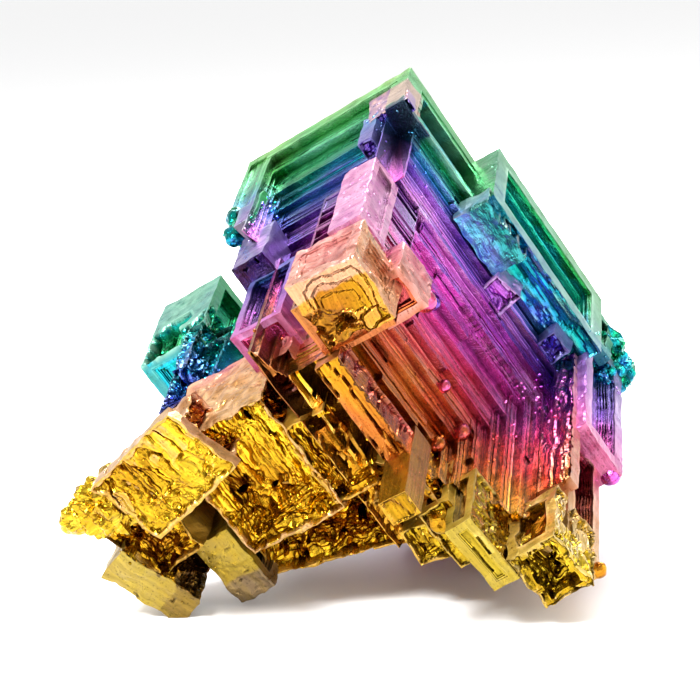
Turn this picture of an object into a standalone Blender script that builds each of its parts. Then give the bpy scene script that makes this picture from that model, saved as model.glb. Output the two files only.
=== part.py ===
"""Bismuth hopper crystal: one grown-together cluster, standing on its lowest corners.

Every crystal of the cluster grows along the same three axes, called a, b and c here. Sizes and
places below are in millimetres along those axes, measured from the apex (the topmost corner):
a runs down to the left, b runs down to the right, and c runs towards the front. The finished
cluster is turned into the world (metres, +Z up), where the lowest tips are cut flat at z = 0.
"""

import math

import bmesh
import bpy
from mathutils import Euler, Matrix, Vector

MM = 0.001

# How the grown axes stand in the world, and where the apex is, in mm above the table.
CRYSTAL_TURN = (-109.7, 27.6, 161.9)
APEX_PLACE = (6.85, 14.44, 54.2)

# The main crystal, a stout wedge: a back slab and a narrower front block.
SLAB_HIGH = (23.0, 44.0, 22.0)
FRONT_LOW = (3.4, 4.3, 20.3)
FRONT_HIGH = (17.4, 36.7, 44.0)

# The two big stepped hollows of the main crystal, each a flight of steps going in.
RIGHT_STEPS = 11
RIGHT_DROP = 0.92
RIGHT_START = 9.4
RIGHT_SLOPE = 0.31
LEFT_STEPS = 9
LEFT_DROP = 0.94
LEFT_START = 2.6
LEFT_SLOPE = 0.27

FAR = 70.0
BLOCK_COLOUR = (0.62, 0.36, 0.22, 1.0)


def clear_scene():
    for old in list(bpy.data.objects):
        bpy.data.objects.remove(old, do_unlink=True)


def new_collection(name, hidden=False):
    collection = bpy.data.collections.new(name)
    bpy.context.scene.collection.children.link(collection)
    collection.hide_render = hidden
    return collection


def bismuth():
    """Bare bismuth under its thin oxide film: a metal, fairly smooth."""
    material = bpy.data.materials.new("bismuth")
    material.use_nodes = True
    shader = material.node_tree.nodes["Principled BSDF"]
    shader.inputs["Base Color"].default_value = BLOCK_COLOUR
    shader.inputs["Metallic"].default_value = 1.0
    shader.inputs["Roughness"].default_value = 0.3
    return material


def add_object(name, bm, collection, helper=True):
    bmesh.ops.recalc_face_normals(bm, faces=bm.faces)
    mesh = bpy.data.meshes.new(name)
    bm.to_mesh(mesh)
    bm.free()
    thing = bpy.data.objects.new(name, mesh)
    collection.objects.link(thing)
    if helper:
        thing.hide_render = True
        thing.display_type = "WIRE"
    return thing


def box_mesh(low, high):
    bm = bmesh.new()
    bmesh.ops.create_cube(bm, size=1.0)
    low, high = Vector(low), Vector(high)
    for vert in bm.verts:
        vert.co = Vector(low[i] + (vert.co[i] + 0.5) * (high[i] - low[i]) for i in range(3))
    return bm


def face_towards(bm, axis, side):
    """The flat face whose normal points along the axis: side is -1 for low, +1 for high."""
    bm.normal_update()
    return max(bm.faces, key=lambda face: side * face.normal[axis] * face.calc_area())


def pull_in(bm, face, axis, depth, box):
    """Copies the face, with sides to the old one, onto a smaller rectangle at a new depth."""
    inner = bmesh.ops.extrude_discrete_faces(bm, faces=[face])["faces"][0]
    others = [i for i in range(3) if i != axis]
    middle = inner.calc_center_median()
    for vert in inner.verts:
        for other, (low, high) in zip(others, box):
            vert.co[other] = low if vert.co[other] < middle[other] else high
        vert.co[axis] = depth
    return inner


def stepped_pit(bm, face, axis, depths, boxes):
    """A hopper pit: each step is a flat ledge to a smaller rectangle and then a wall inwards."""
    level = face.calc_center_median()[axis]
    for depth, box in zip(depths, boxes):
        face = pull_in(bm, face, axis, level, box)
        face = pull_in(bm, face, axis, depth, box)
        level = depth


def hopper_block(low, high, pits):
    """A box with a hopper pit in each listed side: (axis, side, rim, ledge, drop, steps)."""
    bm = box_mesh(low, high)
    for axis, side, rim, ledge, drop, steps in pits:
        outer = (low, high)[side > 0][axis]
        depths = [outer - side * drop * (step + 1) for step in range(steps)]
        others = [i for i in range(3) if i != axis]
        boxes = [
            [(low[i] + rim + ledge * step, high[i] - rim - ledge * step) for i in others]
            for step in range(steps)
        ]
        stepped_pit(bm, face_towards(bm, axis, side), axis, depths, boxes)
    return bm


def turned(bm, about, degrees):
    """Turns a block about its own middle, in degrees about a, b and c."""
    turn = Euler([math.radians(angle) for angle in degrees]).to_matrix().to_4x4()
    place = Matrix.Translation(about) @ turn @ Matrix.Translation(-Vector(about))
    bmesh.ops.transform(bm, matrix=place, verts=bm.verts)
    return bm


def lump_mesh(middle, radii, subdivisions=1):
    """A solidified drop: a low ball, longer along some axes."""
    bm = bmesh.new()
    bmesh.ops.create_icosphere(bm, subdivisions=subdivisions, radius=1.0)
    for vert in bm.verts:
        vert.co = Vector(middle[i] + vert.co[i] * radii[i] for i in range(3))
    return bm


def flight_mesh(axis, levels):
    """A cutter shaped as a flight of steps: levels are (depth, rectangle), outermost first."""
    others = [i for i in range(3) if i != axis]
    low, high = [0.0] * 3, [0.0] * 3
    low[axis], high[axis] = -FAR / 2, levels[0][0]
    for other, (start, end) in zip(others, levels[0][1]):
        low[other], high[other] = start, end
    bm = box_mesh(low, high)
    inner = face_towards(bm, axis, 1)
    stepped_pit(bm, inner, axis, [depth for depth, _ in levels[1:]], [box for _, box in levels[1:]])
    return bm


def right_flight():
    """Steps down from the top rim and from the right rim, open at the front."""
    levels = []
    for step in range(RIGHT_STEPS):
        depth = RIGHT_DROP * (step + 1)
        start = RIGHT_START + RIGHT_DROP * step / RIGHT_SLOPE
        end = min(36.2 - 0.15 * step, 36.2 - (depth - 3.4) / 0.62)
        levels.append((depth, [(3.3 + 0.25 * step, end), (start, FAR - 0.5 * step)]))
    return flight_mesh(0, levels)


def left_flight():
    """Steps down from the top rim and from the left rim, open at the front."""
    levels = []
    for step in range(LEFT_STEPS):
        depth = LEFT_DROP * (step + 1)
        start = LEFT_START + LEFT_DROP * step / LEFT_SLOPE
        levels.append((depth, [(2.4 + 0.35 * step, 19.4 - 0.45 * step), (start, FAR - 0.5 * step)]))
    return flight_mesh(1, levels)


A, B, C = 0, 1, 2

# Satellite crystals: low corner, high corner, turn in degrees, and the pits in their faces.
BLOCKS = {
    "apex cap arm a": ((0.0, 0.2, 2.2), (5.2, 1.9, 9.6), (0, -6, 0), []),
    "apex cap arm b": ((0.15, 0.1, 7.7), (2.3, 8.4, 9.3), (0, 0, 0), []),
    "apex cap hook": ((3.7, 0.3, 8.0), (5.6, 2.3, 15.0), (0, 0, 0), []),
    "window block": (
        (-3.2, 13.8, -0.4),
        (2.6, 37.2, 12.4),
        (0, 0, 0),
        [(A, -1, 2.2, 0.7, 1.3, 3), (C, -1, 1.3, 0.8, 0.7, 2)],
    ),
    "window block end": ((-2.2, 35.4, -0.2), (3.3, 41.3, 7.6), (4, 0, 3), [(A, -1, 1.1, 0.6, 0.8, 2)]),
    "window inner arm": ((-2.8, 13.4, 10.9), (1.7, 21.6, 14.6), (0, 0, 0), [(C, 1, 0.7, 0.5, 0.6, 2)]),
    "right rim, upper": (
        (-1.7, 36.3, 5.3),
        (4.2, 44.4, 27.6),
        (0, 0, 0),
        [(A, -1, 1.7, 0.7, 0.8, 2)],
    ),
    "right rim, lower": (
        (0.4, 36.9, 26.3),
        (5.7, 43.1, 46.4),
        (0, 0, 0),
        [(A, -1, 1.3, 0.7, 0.9, 2), (C, 1, 1.1, 0.7, 0.9, 2)],
    ),
    "right rim edge": ((-0.6, 35.7, 12.3), (3.7, 37.4, 38.2), (0, 0, 0), []),
    "right front block": (
        (-0.1, 34.4, 41.3),
        (5.7, 41.5, 49.9),
        (0, 0, 4),
        [(C, 1, 0.9, 0.6, 1.1, 3), (B, -1, 1.2, 0.6, 0.6, 1)],
    ),
    "left rim tail": ((19.2, 0.5, 11.2), (22.3, 4.6, 18.7), (0, 3, 0), []),
    "purple block": (
        (17.3, 1.8, 18.3),
        (21.5, 7.2, 26.4),
        (0, 0, 0),
        [(C, 1, 0.7, 0.5, 0.6, 2), (A, 1, 0.9, 0.5, 0.6, 1)],
    ),
    "lavender block": (
        (14.4, 4.3, 25.6),
        (20.7, 9.6, 38.3),
        (0, 0, 0),
        [(B, -1, 0.8, 0.6, 0.5, 2), (C, 1, 0.8, 0.6, 0.6, 1)],
    ),
    "rose block": ((14.7, 7.2, 34.6), (18.7, 11.4, 41.3), (0, 0, 5), [(C, 1, 0.7, 0.5, 0.6, 1)]),
    "ridge block": (
        (1.7, -0.2, 23.3),
        (5.7, 4.1, 37.3),
        (0, 0, 0),
        [(C, 1, 0.7, 0.5, 1.0, 2), (A, -1, 0.9, 0.5, 0.5, 1)],
    ),
    "ridge core": ((3.2, 2.9, 17.4), (11.3, 9.4, 43.2), (0, 0, 0), []),
    "golden head": (
        (1.4, -0.3, 38.6),
        (9.3, 7.4, 46.3),
        (0, 0, -3),
        [(A, -1, 1.3, 0.7, 0.7, 2), (B, -1, 1.2, 0.7, 0.7, 1)],
    ),
    "golden head side": ((0.4, 5.4, 34.7), (5.3, 10.6, 40.4), (0, 0, 0), [(C, 1, 0.8, 0.6, 0.8, 1)]),
    "amber arm": ((9.3, 8.7, 41.4), (12.1, 23.4, 45.3), (0, 0, 0), []),
    "amber arm turn": ((9.1, 21.4, 40.4), (12.3, 24.3, 52.3), (0, 0, 0), []),
    "left back block": (
        (32.7, 8.8, 4.8),
        (41.3, 15.6, 19.3),
        (0, 0, 0),
        [(B, -1, 1.2, 0.7, 0.7, 3), (A, -1, 1.3, 0.6, 0.6, 2), (C, 1, 1.0, 0.7, 0.8, 2)],
    ),
    "left back ridge": ((32.4, 8.6, 17.0), (34.6, 11.3, 26.4), (0, 0, 0), []),
    "left back bridge": ((20.4, 11.2, 15.3), (35.7, 18.3, 32.7), (0, 0, 0), [(B, -1, 1.6, 0.9, 0.6, 3)]),
    "left stair block": (
        (29.4, 10.3, 19.4),
        (36.4, 16.4, 31.4),
        (0, 0, 0),
        [(B, -1, 0.9, 0.6, 0.5, 2), (A, 1, 1.1, 0.6, 0.5, 2)],
    ),
    "gold block": (
        (18.8, 8.8, 32.6),
        (30.6, 24.0, 45.1),
        (0, 0, 0),
        [(C, 1, 1.2, 0.8, 0.9, 3), (A, -1, 1.4, 0.7, 0.5, 1)],
    ),
    "gold block wing": ((11.6, 13.2, 33.4), (19.6, 23.4, 44.7), (0, 0, 0), [(C, 1, 1.0, 0.6, 0.8, 2)]),
    "front gold block": (
        (24.0, 5.0, 48.8),
        (36.4, 13.8, 50.2),
        (0, 0, 15),
        [(C, 1, 1.1, 0.7, 0.6, 3)],
    ),
    "front gold neck": ((25.2, 6.9, 41.3), (36.6, 14.0, 49.3), (0, 0, 12), []),
    "left foot": (
        (38.8, 15.9, 41.0),
        (43.0, 25.6, 48.0),
        (0, 0, 22),
        [(B, 1, 1.0, 0.7, 0.7, 1), (A, -1, 1.1, 0.6, 0.5, 2)],
    ),
    "left foot neck": ((34.2, 12.7, 40.2), (41.3, 20.4, 46.6), (0, 0, 12), [(C, 1, 0.9, 0.6, 0.6, 2)]),
    "left cavity wall": ((29.7, 14.8, 31.6), (38.3, 21.6, 40.6), (0, 0, 0), [(C, 1, 1.1, 0.7, 0.8, 3)]),
    "middle foot": ((31.2, 20.2, 37.2), (35.8, 28.8, 44.8), (0, 0, 2), [(A, -1, 1.2, 0.7, 0.7, 2)]),
    "lower gold block": (
        (13.2, 20.4, 26.6),
        (31.3, 30.9, 42.2),
        (0, 0, -14),
        [(C, 1, 1.4, 0.9, 0.8, 3), (B, 1, 1.8, 1.0, 1.0, 3)],
    ),
    "middle knob": ((12.7, 29.6, 36.4), (16.1, 34.3, 44.6), (0, 0, -7), [(C, 1, 0.6, 0.5, 0.5, 1)]),
    "lower middle block": ((9.6, 24.1, 34.8), (15.4, 29.7, 46.3), (0, 0, 0), [(C, 1, 1.1, 0.7, 0.9, 2)]),
    "right front foot": (
        (5.8, 28.2, 41.6),
        (8.9, 36.7, 50.6),
        (0, 0, 3),
        [(B, -1, 0.9, 0.5, 0.5, 1), (C, 1, 0.8, 0.5, 0.5, 1)],
    ),
    "right front ledge": ((8.2, 27.3, 39.7), (11.9, 34.8, 46.9), (0, 0, 3), [(B, -1, 0.9, 0.5, 0.6, 2)]),
    "small cube, upper": ((0.2, 21.8, 11.7), (3.4, 25.4, 16.4), (8, -5, 14), []),
    "small cube, right": ((-0.9, 31.5, 10.6), (2.4, 34.6, 14.8), (5, 4, 8), []),
    "back block, upper": ((4.8, 19.6, -4.6), (15.4, 32.2, 3.4), (0, 0, 3), [(C, -1, 1.4, 0.9, 0.9, 3)]),
    "back block, left": ((20.3, 15.8, 1.7), (28.2, 27.4, 14.6), (0, 0, 0), [(C, -1, 1.2, 0.8, 0.8, 2)]),
    "back block, low": (
        (9.7, 40.3, 3.4),
        (19.4, 47.6, 14.7),
        (0, 0, 0),
        [(B, 1, 1.3, 0.8, 0.8, 2), (C, -1, 1.2, 0.7, 0.7, 2)],
    ),
    "back block, right": ((2.7, 35.2, -2.9), (10.2, 42.3, 4.6), (0, 0, 0), [(C, -1, 1.1, 0.7, 0.7, 2)]),
    "back block, inner": ((13.8, 7.3, -3.4), (20.6, 15.2, 2.7), (0, 0, -4), [(C, -1, 1.1, 0.7, 0.7, 2)]),
    "left back stair": (
        (22.3, 21.6, 10.3),
        (33.4, 31.2, 24.4),
        (0, 0, 0),
        [(A, 1, 1.4, 0.9, 0.8, 3), (B, 1, 1.4, 0.9, 0.8, 2)],
    ),
    "under block": ((12.3, 33.2, 20.8), (19.7, 38.6, 31.2), (0, 0, 0), [(B, 1, 1.2, 0.8, 0.8, 2)]),
    "back foot": ((15.3, 38.6, 12.6), (24.6, 46.4, 23.4), (0, 0, 0), [(A, 1, 1.3, 0.8, 0.7, 2)]),
    "right back foot": ((4.3, 39.4, 25.6), (10.3, 48.6, 36.6), (0, 0, 0), [(B, 1, 1.2, 0.7, 0.7, 2)]),
}

# Solidified drops and melted lumps: middle and radii.
LUMPS = [
    ((22.6, 0.9, 14.1), (1.2, 1.3, 1.6), 2),
    ((22.1, 1.3, 18.3), (1.3, 1.2, 1.4), 1),
    ((-0.9, 42.2, 2.2), (2.0, 3.0, 2.4), 2),
    ((-1.5, 44.3, 4.6), (1.9, 2.2, 2.4), 2),
    ((0.5, 43.4, 7.7), (2.4, 2.7, 2.6), 2),
    ((38.7, 10.2, 48.0), (3.2, 3.2, 2.4), 2),
    ((41.9, 9.5, 48.6), (1.9, 1.8, 1.6), 2),
    ((36.1, 7.2, 47.9), (1.2, 1.1, 1.6), 1),
    ((1.7, 11.2, 37.0), (1.2, 1.3, 1.1), 2),
    ((8.0, 27.5, 34.2), (1.0, 0.9, 1.3), 1),
    ((9.0, 25.2, 38.8), (0.8, 0.8, 1.0), 1),
    ((7.2, 22.6, 32.5), (0.8, 0.7, 0.9), 1),
    ((5.4, 16.8, 25.3), (0.8, 0.7, 0.8), 1),
    ((-0.4, 44.0, 27.0), (1.1, 1.1, 1.2), 1),
    ((10.4, 29.1, 46.8), (1.4, 1.4, 1.2), 1),
    ((0.3, 42.6, 45.7), (1.0, 0.9, 0.8), 1),
]

# What the main crystal lacks where its edges stopped growing: low corner, high corner.
GAPS = [
    ((12.4, 31.4, 33.3), (30.0, 50.0, 60.0)),
    ((9.2, 35.2, 39.4), (14.0, 50.0, 60.0)),
    ((-3.0, -3.0, 9.8), (2.8, 3.6, 30.0)),
    ((21.3, -3.0, 14.9), (30.0, 9.6, 30.0)),
    ((19.6, -3.0, 19.3), (22.0, 8.7, 31.0)),
]

# Deep dark slots cut after everything is joined: low corner, high corner.
SLOTS = [
    ((-6.0, 3.2, 2.7), (3.2, 14.6, 7.6)),
    ((12.6, 7.6, 37.4), (14.4, 24.2, 60.0)),
    ((15.6, 8.2, 39.0), (17.3, 15.6, 60.0)),
    ((12.2, 24.8, 36.0), (15.7, 30.2, 60.0)),
    ((7.4, 25.2, 41.0), (9.6, 27.6, 60.0)),
]


def mesh_of(thing):
    """The object's finished mesh, with its modifiers in it."""
    graph = bpy.context.evaluated_depsgraph_get()
    return bpy.data.meshes.new_from_object(thing.evaluated_get(graph))


def combine(thing, other, operation):
    """Joins or cuts at once, and keeps the result as the object's own mesh."""
    boolean = thing.modifiers.new(operation.lower(), "BOOLEAN")
    boolean.operation = operation
    boolean.solver = "EXACT"
    boolean.object = other
    bpy.context.view_layer.update()
    result = mesh_of(thing)
    thing.modifiers.remove(boolean)
    thing.data = result


def crystal_matrix():
    turn = Euler([math.radians(angle) for angle in CRYSTAL_TURN]).to_matrix().to_4x4()
    return Matrix.Translation(Vector(APEX_PLACE) * MM) @ turn @ Matrix.Scale(MM, 4)


def main():
    clear_scene()
    helpers = new_collection("crystal helpers", hidden=True)
    finished = new_collection("bismuth hopper crystal")

    slab_pits = [(C, -1, 3.0, 1.4, 1.1, 4), (B, 1, 2.6, 1.2, 1.0, 3), (A, 1, 2.4, 1.2, 1.0, 3)]
    crystal = add_object("bismuth_crystal", hopper_block((0, 0, 0), SLAB_HIGH, slab_pits), finished, False)
    front = add_object("front block", box_mesh(FRONT_LOW, FRONT_HIGH), helpers)
    combine(crystal, front, "UNION")
    for name, bm in (("right steps", right_flight()), ("left steps", left_flight())):
        combine(crystal, add_object(name, bm, helpers), "DIFFERENCE")

    for number, (low, high) in enumerate(GAPS):
        combine(crystal, add_object(f"gap {number + 1}", box_mesh(low, high), helpers), "DIFFERENCE")

    for name, (low, high, turn, pits) in BLOCKS.items():
        middle = (Vector(low) + Vector(high)) / 2
        block = add_object(name, turned(hopper_block(low, high, pits), middle, turn), helpers)
        combine(crystal, block, "UNION")
    for number, (low, high) in enumerate(SLOTS):
        combine(crystal, add_object(f"slot {number + 1}", box_mesh(low, high), helpers), "DIFFERENCE")
    for number, (middle, radii, fineness) in enumerate(LUMPS):
        lump = add_object(f"lump {number + 1}", lump_mesh(middle, radii, fineness), helpers)
        combine(crystal, lump, "UNION")

    crystal.data.transform(crystal_matrix())
    table = add_object("table cut", box_mesh((-1, -1, -1), (1, 1, 0)), helpers)
    combine(crystal, table, "DIFFERENCE")
    crystal.data.materials.clear()
    crystal.data.materials.append(bismuth())


main()
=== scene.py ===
import itertools
import math

import bmesh
import bpy
import numpy as np
from mathutils import Euler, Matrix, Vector


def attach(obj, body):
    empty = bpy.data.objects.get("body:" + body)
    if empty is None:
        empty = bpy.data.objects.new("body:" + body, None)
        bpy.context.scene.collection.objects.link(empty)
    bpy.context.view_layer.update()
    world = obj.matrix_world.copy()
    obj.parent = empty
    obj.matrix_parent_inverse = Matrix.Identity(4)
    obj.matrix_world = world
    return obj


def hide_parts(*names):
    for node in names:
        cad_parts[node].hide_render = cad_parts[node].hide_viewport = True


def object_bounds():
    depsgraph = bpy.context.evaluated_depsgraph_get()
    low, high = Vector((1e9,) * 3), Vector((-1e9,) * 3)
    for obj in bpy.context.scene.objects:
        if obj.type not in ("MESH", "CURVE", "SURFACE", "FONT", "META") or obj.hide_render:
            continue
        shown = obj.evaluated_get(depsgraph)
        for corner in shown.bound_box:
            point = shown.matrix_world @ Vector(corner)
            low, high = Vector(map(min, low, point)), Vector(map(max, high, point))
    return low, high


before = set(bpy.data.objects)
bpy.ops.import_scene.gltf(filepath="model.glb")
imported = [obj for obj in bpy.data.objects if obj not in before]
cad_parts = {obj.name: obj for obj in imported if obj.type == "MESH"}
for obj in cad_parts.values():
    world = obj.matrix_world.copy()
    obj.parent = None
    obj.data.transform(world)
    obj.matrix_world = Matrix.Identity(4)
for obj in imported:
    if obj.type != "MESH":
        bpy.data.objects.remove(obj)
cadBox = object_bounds()

# Places below are in millimetres along the three axes of growth, from the topmost corner:
# a runs down to the left, b down to the right, c towards the front.
growth = {
    "turn": (-109.7, 27.6, 161.9),  # how the grown axes stand in the world, degrees
    "apex": (6.85, 14.44, 54.2),  # place of the topmost corner, mm
    "hair": 0.012,  # half the width of a riser, seen from above
}
mm = 0.001
a, b, c = 0, 1, 2
away = 90.0  # well outside the cluster

crystalTurn = Euler([math.radians(angle) for angle in growth["turn"]]).to_matrix()
toWorld = np.array(crystalTurn)
apexPlace = np.array(growth["apex"])


def linear(code):
    # sRGB hex to linear colour
    parts = [int(code[i:i + 2], 16) / 255 for i in (1, 3, 5)]
    return [v / 12.92 if v <= 0.04045 else ((v + 0.055) / 1.055) ** 2.4 for v in parts]


# Colour of the oxide film as it gets thicker, on a scale that mostly follows c.
filmScale = {
    -4: "#A9BE55", 1: "#5FAE4F", 5: "#2C9F52", 8.5: "#149064", 11: "#108686", 13: "#2588AE", 14.5: "#3F63AE",
    16.5: "#50499E", 19: "#6C4CA6", 22: "#8C52B0", 25: "#B057B4", 28: "#CC56AA", 31: "#D2558C", 34: "#C6505F",
    37: "#B5533A", 40: "#B26426", 43: "#AE751A", 46: "#B5861A", 50: "#C29C22", 54: "#CDB034", 60: "#DCC868",
}
filmPlaces = np.array(list(filmScale), float)
filmColours = np.array([linear(code) for code in filmScale.values()])


def filmColour(place):
    return np.stack([np.interp(place, filmPlaces, filmColours[:, i]) for i in range(3)], axis=1)


def valueNoise(points, size, seed):
    # smooth noise from 0 to 1, with lumps of about this size
    spots = points / size + seed * 7.31
    cell = np.floor(spots).astype(np.int64)
    part = spots - cell
    part = part * part * (3 - 2 * part)
    total = np.zeros(len(points))
    for corner in itertools.product((0, 1), repeat=3):
        at = cell + np.array(corner)
        mixed = (at[:, 0] * 73856093) ^ (at[:, 1] * 19349663) ^ (at[:, 2] * 83492791) ^ (seed * 2971215)
        mixed = ((mixed ^ (mixed >> 13)) * 1274126177) & 0xFFFFFFFF
        value = ((mixed ^ (mixed >> 16)) & 0xFFFF) / 65535
        total += value * np.where(corner, part, 1 - part).prod(axis=1)
    return total


def wander(points, size, seed):
    # a smooth push in all three directions, from -1 to 1
    return np.stack([valueNoise(points, size, seed + k) * 2 - 1 for k in range(3)], axis=1)


def otherAxes(axis):
    return [i for i in range(3) if i != axis]


# carvings: each gives the marks its lines need, and how deep a side is sunk at each crossing


def stairAt(distance, runs, levels):
    # depth of the tread at each distance from the side where the stairs start
    return np.concatenate([[0.0], levels])[np.searchsorted(runs, distance)]


def hopperPit(rng, low, high, axis, side, rim, ledge, drop, steps, finer):
    # steps in from all four sides of a face: the depth is the least that the four flights allow
    others = otherAxes(axis)
    count = steps * finer
    share = rng.uniform(0.25, 1.0, count) ** 1.6
    levels = drop * steps * np.cumsum(share) / share.sum()
    flights = []
    for other in others:
        half = (high[other] - low[other]) / 2
        run = max(0.2, min(ledge * steps, half * 0.92 - rim))
        for way, edge in ((1, low[other]), (-1, high[other])):
            width = rng.uniform(0.35, 1.0, count)
            runs = rim * rng.uniform(0.92, 1.08) + run * (np.cumsum(width) - width) / width.sum()
            flights.append((other, way, edge, runs))

    def depth(grids):
        found = np.full((len(grids[0]), len(grids[1])), np.inf)
        for other, way, edge, runs in flights:
            along = others.index(other)
            steps = stairAt(way * (grids[along] - edge), runs, levels)
            found = np.minimum(found, steps[:, None] if along == 0 else steps[None, :])
        return found

    marks = {o: [edge + way * run for at, way, edge, runs in flights if at == o for run in runs] for o in others}
    return marks, depth


def notchCarvings(low, high, notchLow, notchHigh):
    # a box cut into a block from one side, or out of its corner or edge
    beyond = {}
    for axis in range(3):
        sides = [s for s, out in ((-1, notchLow[axis] <= low[axis]), (1, notchHigh[axis] >= high[axis])) if out]
        if len(sides) == 1:
            beyond[(axis, sides[0])] = notchHigh[axis] - low[axis] if sides[0] < 0 else high[axis] - notchLow[axis]
    found = {}
    for (axis, side), reach in beyond.items():
        others = otherAxes(axis)
        ends = [(notchLow[o], notchHigh[o]) for o in others]

        def depth(grids, ends=ends, reach=reach):
            inside = [(grid > e[0]) & (grid < e[1]) for grid, e in zip(grids, ends)]
            return np.where(inside[0][:, None] & inside[1][None, :], reach, 0.0)

        found[(axis, side)] = ({o: list(e) for o, e in zip(others, ends)}, depth)
    return found


# the two big stepped hollows of the main crystal

rightHollow = {
    "side": b, "start": 9.4, "step": 2.968, "rise": 0.92, "most": 10.2, "fine": 0.55,
    "nearRim": (3.3, 0.9, 3.6, 0.26), "farRim": (36.2, 3.4, 0.62, 0.36), "breaks": 130, "sections": 22, "seed": 21,
}
leftHollow = {
    "side": a, "start": 2.6, "step": 3.481, "rise": 0.94, "most": 8.46, "fine": 0.46,
    "nearRim": (2.4, 0.94, 2.7, 0.3), "farRim": (19.4, 0.94, 2.1, 0.24), "breaks": 80, "sections": 14, "seed": 22,
}


def boldAndFine(rng, start, end, step, rise, fine, most=away):
    # edges and depths of a flight: bold risers a step apart, with fine lines and thin grooves on each tread
    edges, levels = [], []
    number = 0
    while start + step * number < end:
        place = start + step * (number + rng.uniform(-0.16, 0.16) * (number > 0))
        length = start + step * (number + 1) - place
        spare = rise * rng.uniform(0.05, 0.5)
        tread = min(rise * (number + 1), most) - spare / 2
        edges.append(place)
        levels.append(tread)
        count = max(1, int(length / fine * rng.uniform(0.5, 1.3)))
        for share, up in zip(np.sort(rng.uniform(0.08, 0.84, count)), np.sort(rng.uniform(0, 1, count))):
            level = tread + spare * up + rng.normal(0, 0.03)
            if rng.uniform() < 0.3:
                edges.append(place + length * share - 0.09)
                levels.append(level + rng.uniform(0.15, 0.4))
            edges.append(place + length * share)
            levels.append(level)
        number += 1
    order = np.argsort(edges)
    return np.array(edges)[order], np.maximum(np.array(levels)[order], 0.05)


def brokenTreads(rng, levels, sections, breaks):
    # the treads in sections along their length: here and there a stretch takes its neighbour's depth
    table = np.tile(levels, (sections + 1, 1))
    for _ in range(breaks):
        row = int(rng.integers(0, sections))
        column = int(rng.integers(1, len(levels) - 1))
        table[row:row + int(rng.integers(1, 6)), column] = levels[column + int(rng.choice((-1, 1)))]
    return table


def hollowFlights(hollow):
    rng = np.random.default_rng(hollow["seed"])
    along = boldAndFine(rng, hollow["start"], 46.0, hollow["step"], hollow["rise"], hollow["fine"], hollow["most"])
    # bold lines near the start too, where the rim is already streaked
    near, nearDrop, nearSlope, nearFine = hollow["nearRim"]
    far, farDrop, farSlope, farFine = hollow["farRim"]
    nearRuns = np.sort(rng.uniform(0, 3.4, int(3.4 / nearFine)))
    nearRuns[0] = 0.0
    if farSlope < 1:
        farRuns, farLevels = boldAndFine(rng, 0.0, 16.0, 0.92 / farSlope, 0.92, farFine)
        farLevels = farLevels - 0.92 + farDrop
    else:
        farRuns = np.sort(rng.uniform(0, 4.6, int(4.6 / farFine)))
        farRuns[0] = 0.0
        farLevels = farDrop + farSlope * farRuns
    cuts = np.sort(rng.uniform(hollow["side"] + 3, far, hollow["sections"]))
    farCuts = np.sort(rng.uniform(12, 44, 9))
    return {
        "side": hollow["side"], "along": along, "cuts": cuts, "farCuts": farCuts,
        "table": brokenTreads(rng, along[1], len(cuts), hollow["breaks"]),
        "near": (near, nearRuns, nearDrop + nearSlope * nearRuns),
        "far": (far, farRuns, brokenTreads(rng, farLevels, len(farCuts), 18)),
    }


def hollowCarving(flights, base):
    # sinks a side to the hollow's level, measured from this block's own face
    side = flights["side"]
    axis = a + b - side
    others = otherAxes(axis)
    near, nearRuns, nearLevels = flights["near"]
    far, farRuns, farTable = flights["far"]

    def depth(grids):
        across, along = grids[others.index(side)], grids[others.index(c)]
        treads = flights["table"][np.searchsorted(flights["cuts"], across)]
        treads = np.hstack([np.zeros((len(treads), 1)), treads])
        found = treads[:, np.searchsorted(flights["along"][0], along)]
        found = np.minimum(found, stairAt(across - near, nearRuns, nearLevels)[:, None])
        walls = farTable[np.searchsorted(flights["farCuts"], along)]
        walls = np.hstack([np.zeros((len(walls), 1)), walls])
        found = np.minimum(found, walls[:, np.searchsorted(farRuns, far - across)].T)
        return found - base

    marks = {
        side: list(near + nearRuns) + list(far - farRuns) + list(flights["cuts"]),
        c: list(flights["along"][0]) + list(flights["farCuts"]),
    }
    return marks, depth


def rimStreaks(axis, width, low, high, deep, seed, ends, floor=0.0, upright=False):
    # shallow grooves along a flat rim or the floor of a slot, where growth had begun to lag
    rng = np.random.default_rng(seed)
    edges = np.sort(rng.uniform(low, high, int((high - low) / width)))
    levels = np.append(floor + np.maximum(rng.normal(deep / 2, deep / 2.5, len(edges) - 1), 0), 0)
    side = otherAxes(axis)[0]

    def depth(grids):
        across, along = grids[::-1] if upright else grids
        found = stairAt(along, edges, levels)[None, :] * ((across > ends[0]) & (across < ends[1]))[:, None]
        return found.T if upright else found

    return ({side: list(edges), c: list(ends)} if upright else {side: list(ends), c: list(edges)}), depth


rightFlights = hollowFlights(rightHollow)
leftFlights = hollowFlights(leftHollow)

# reliefs: uneven crusts that are added to a side, on a dense net of lines


def spotsOn(grids):
    u, v = np.meshgrid(*grids, indexing="ij")
    return np.stack([u, v, np.zeros_like(u)], axis=-1).reshape(-1, 3), u.shape


def smoothStep(value):
    value = np.clip(value, 0, 1)
    return value * value * (3 - 2 * value)


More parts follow.
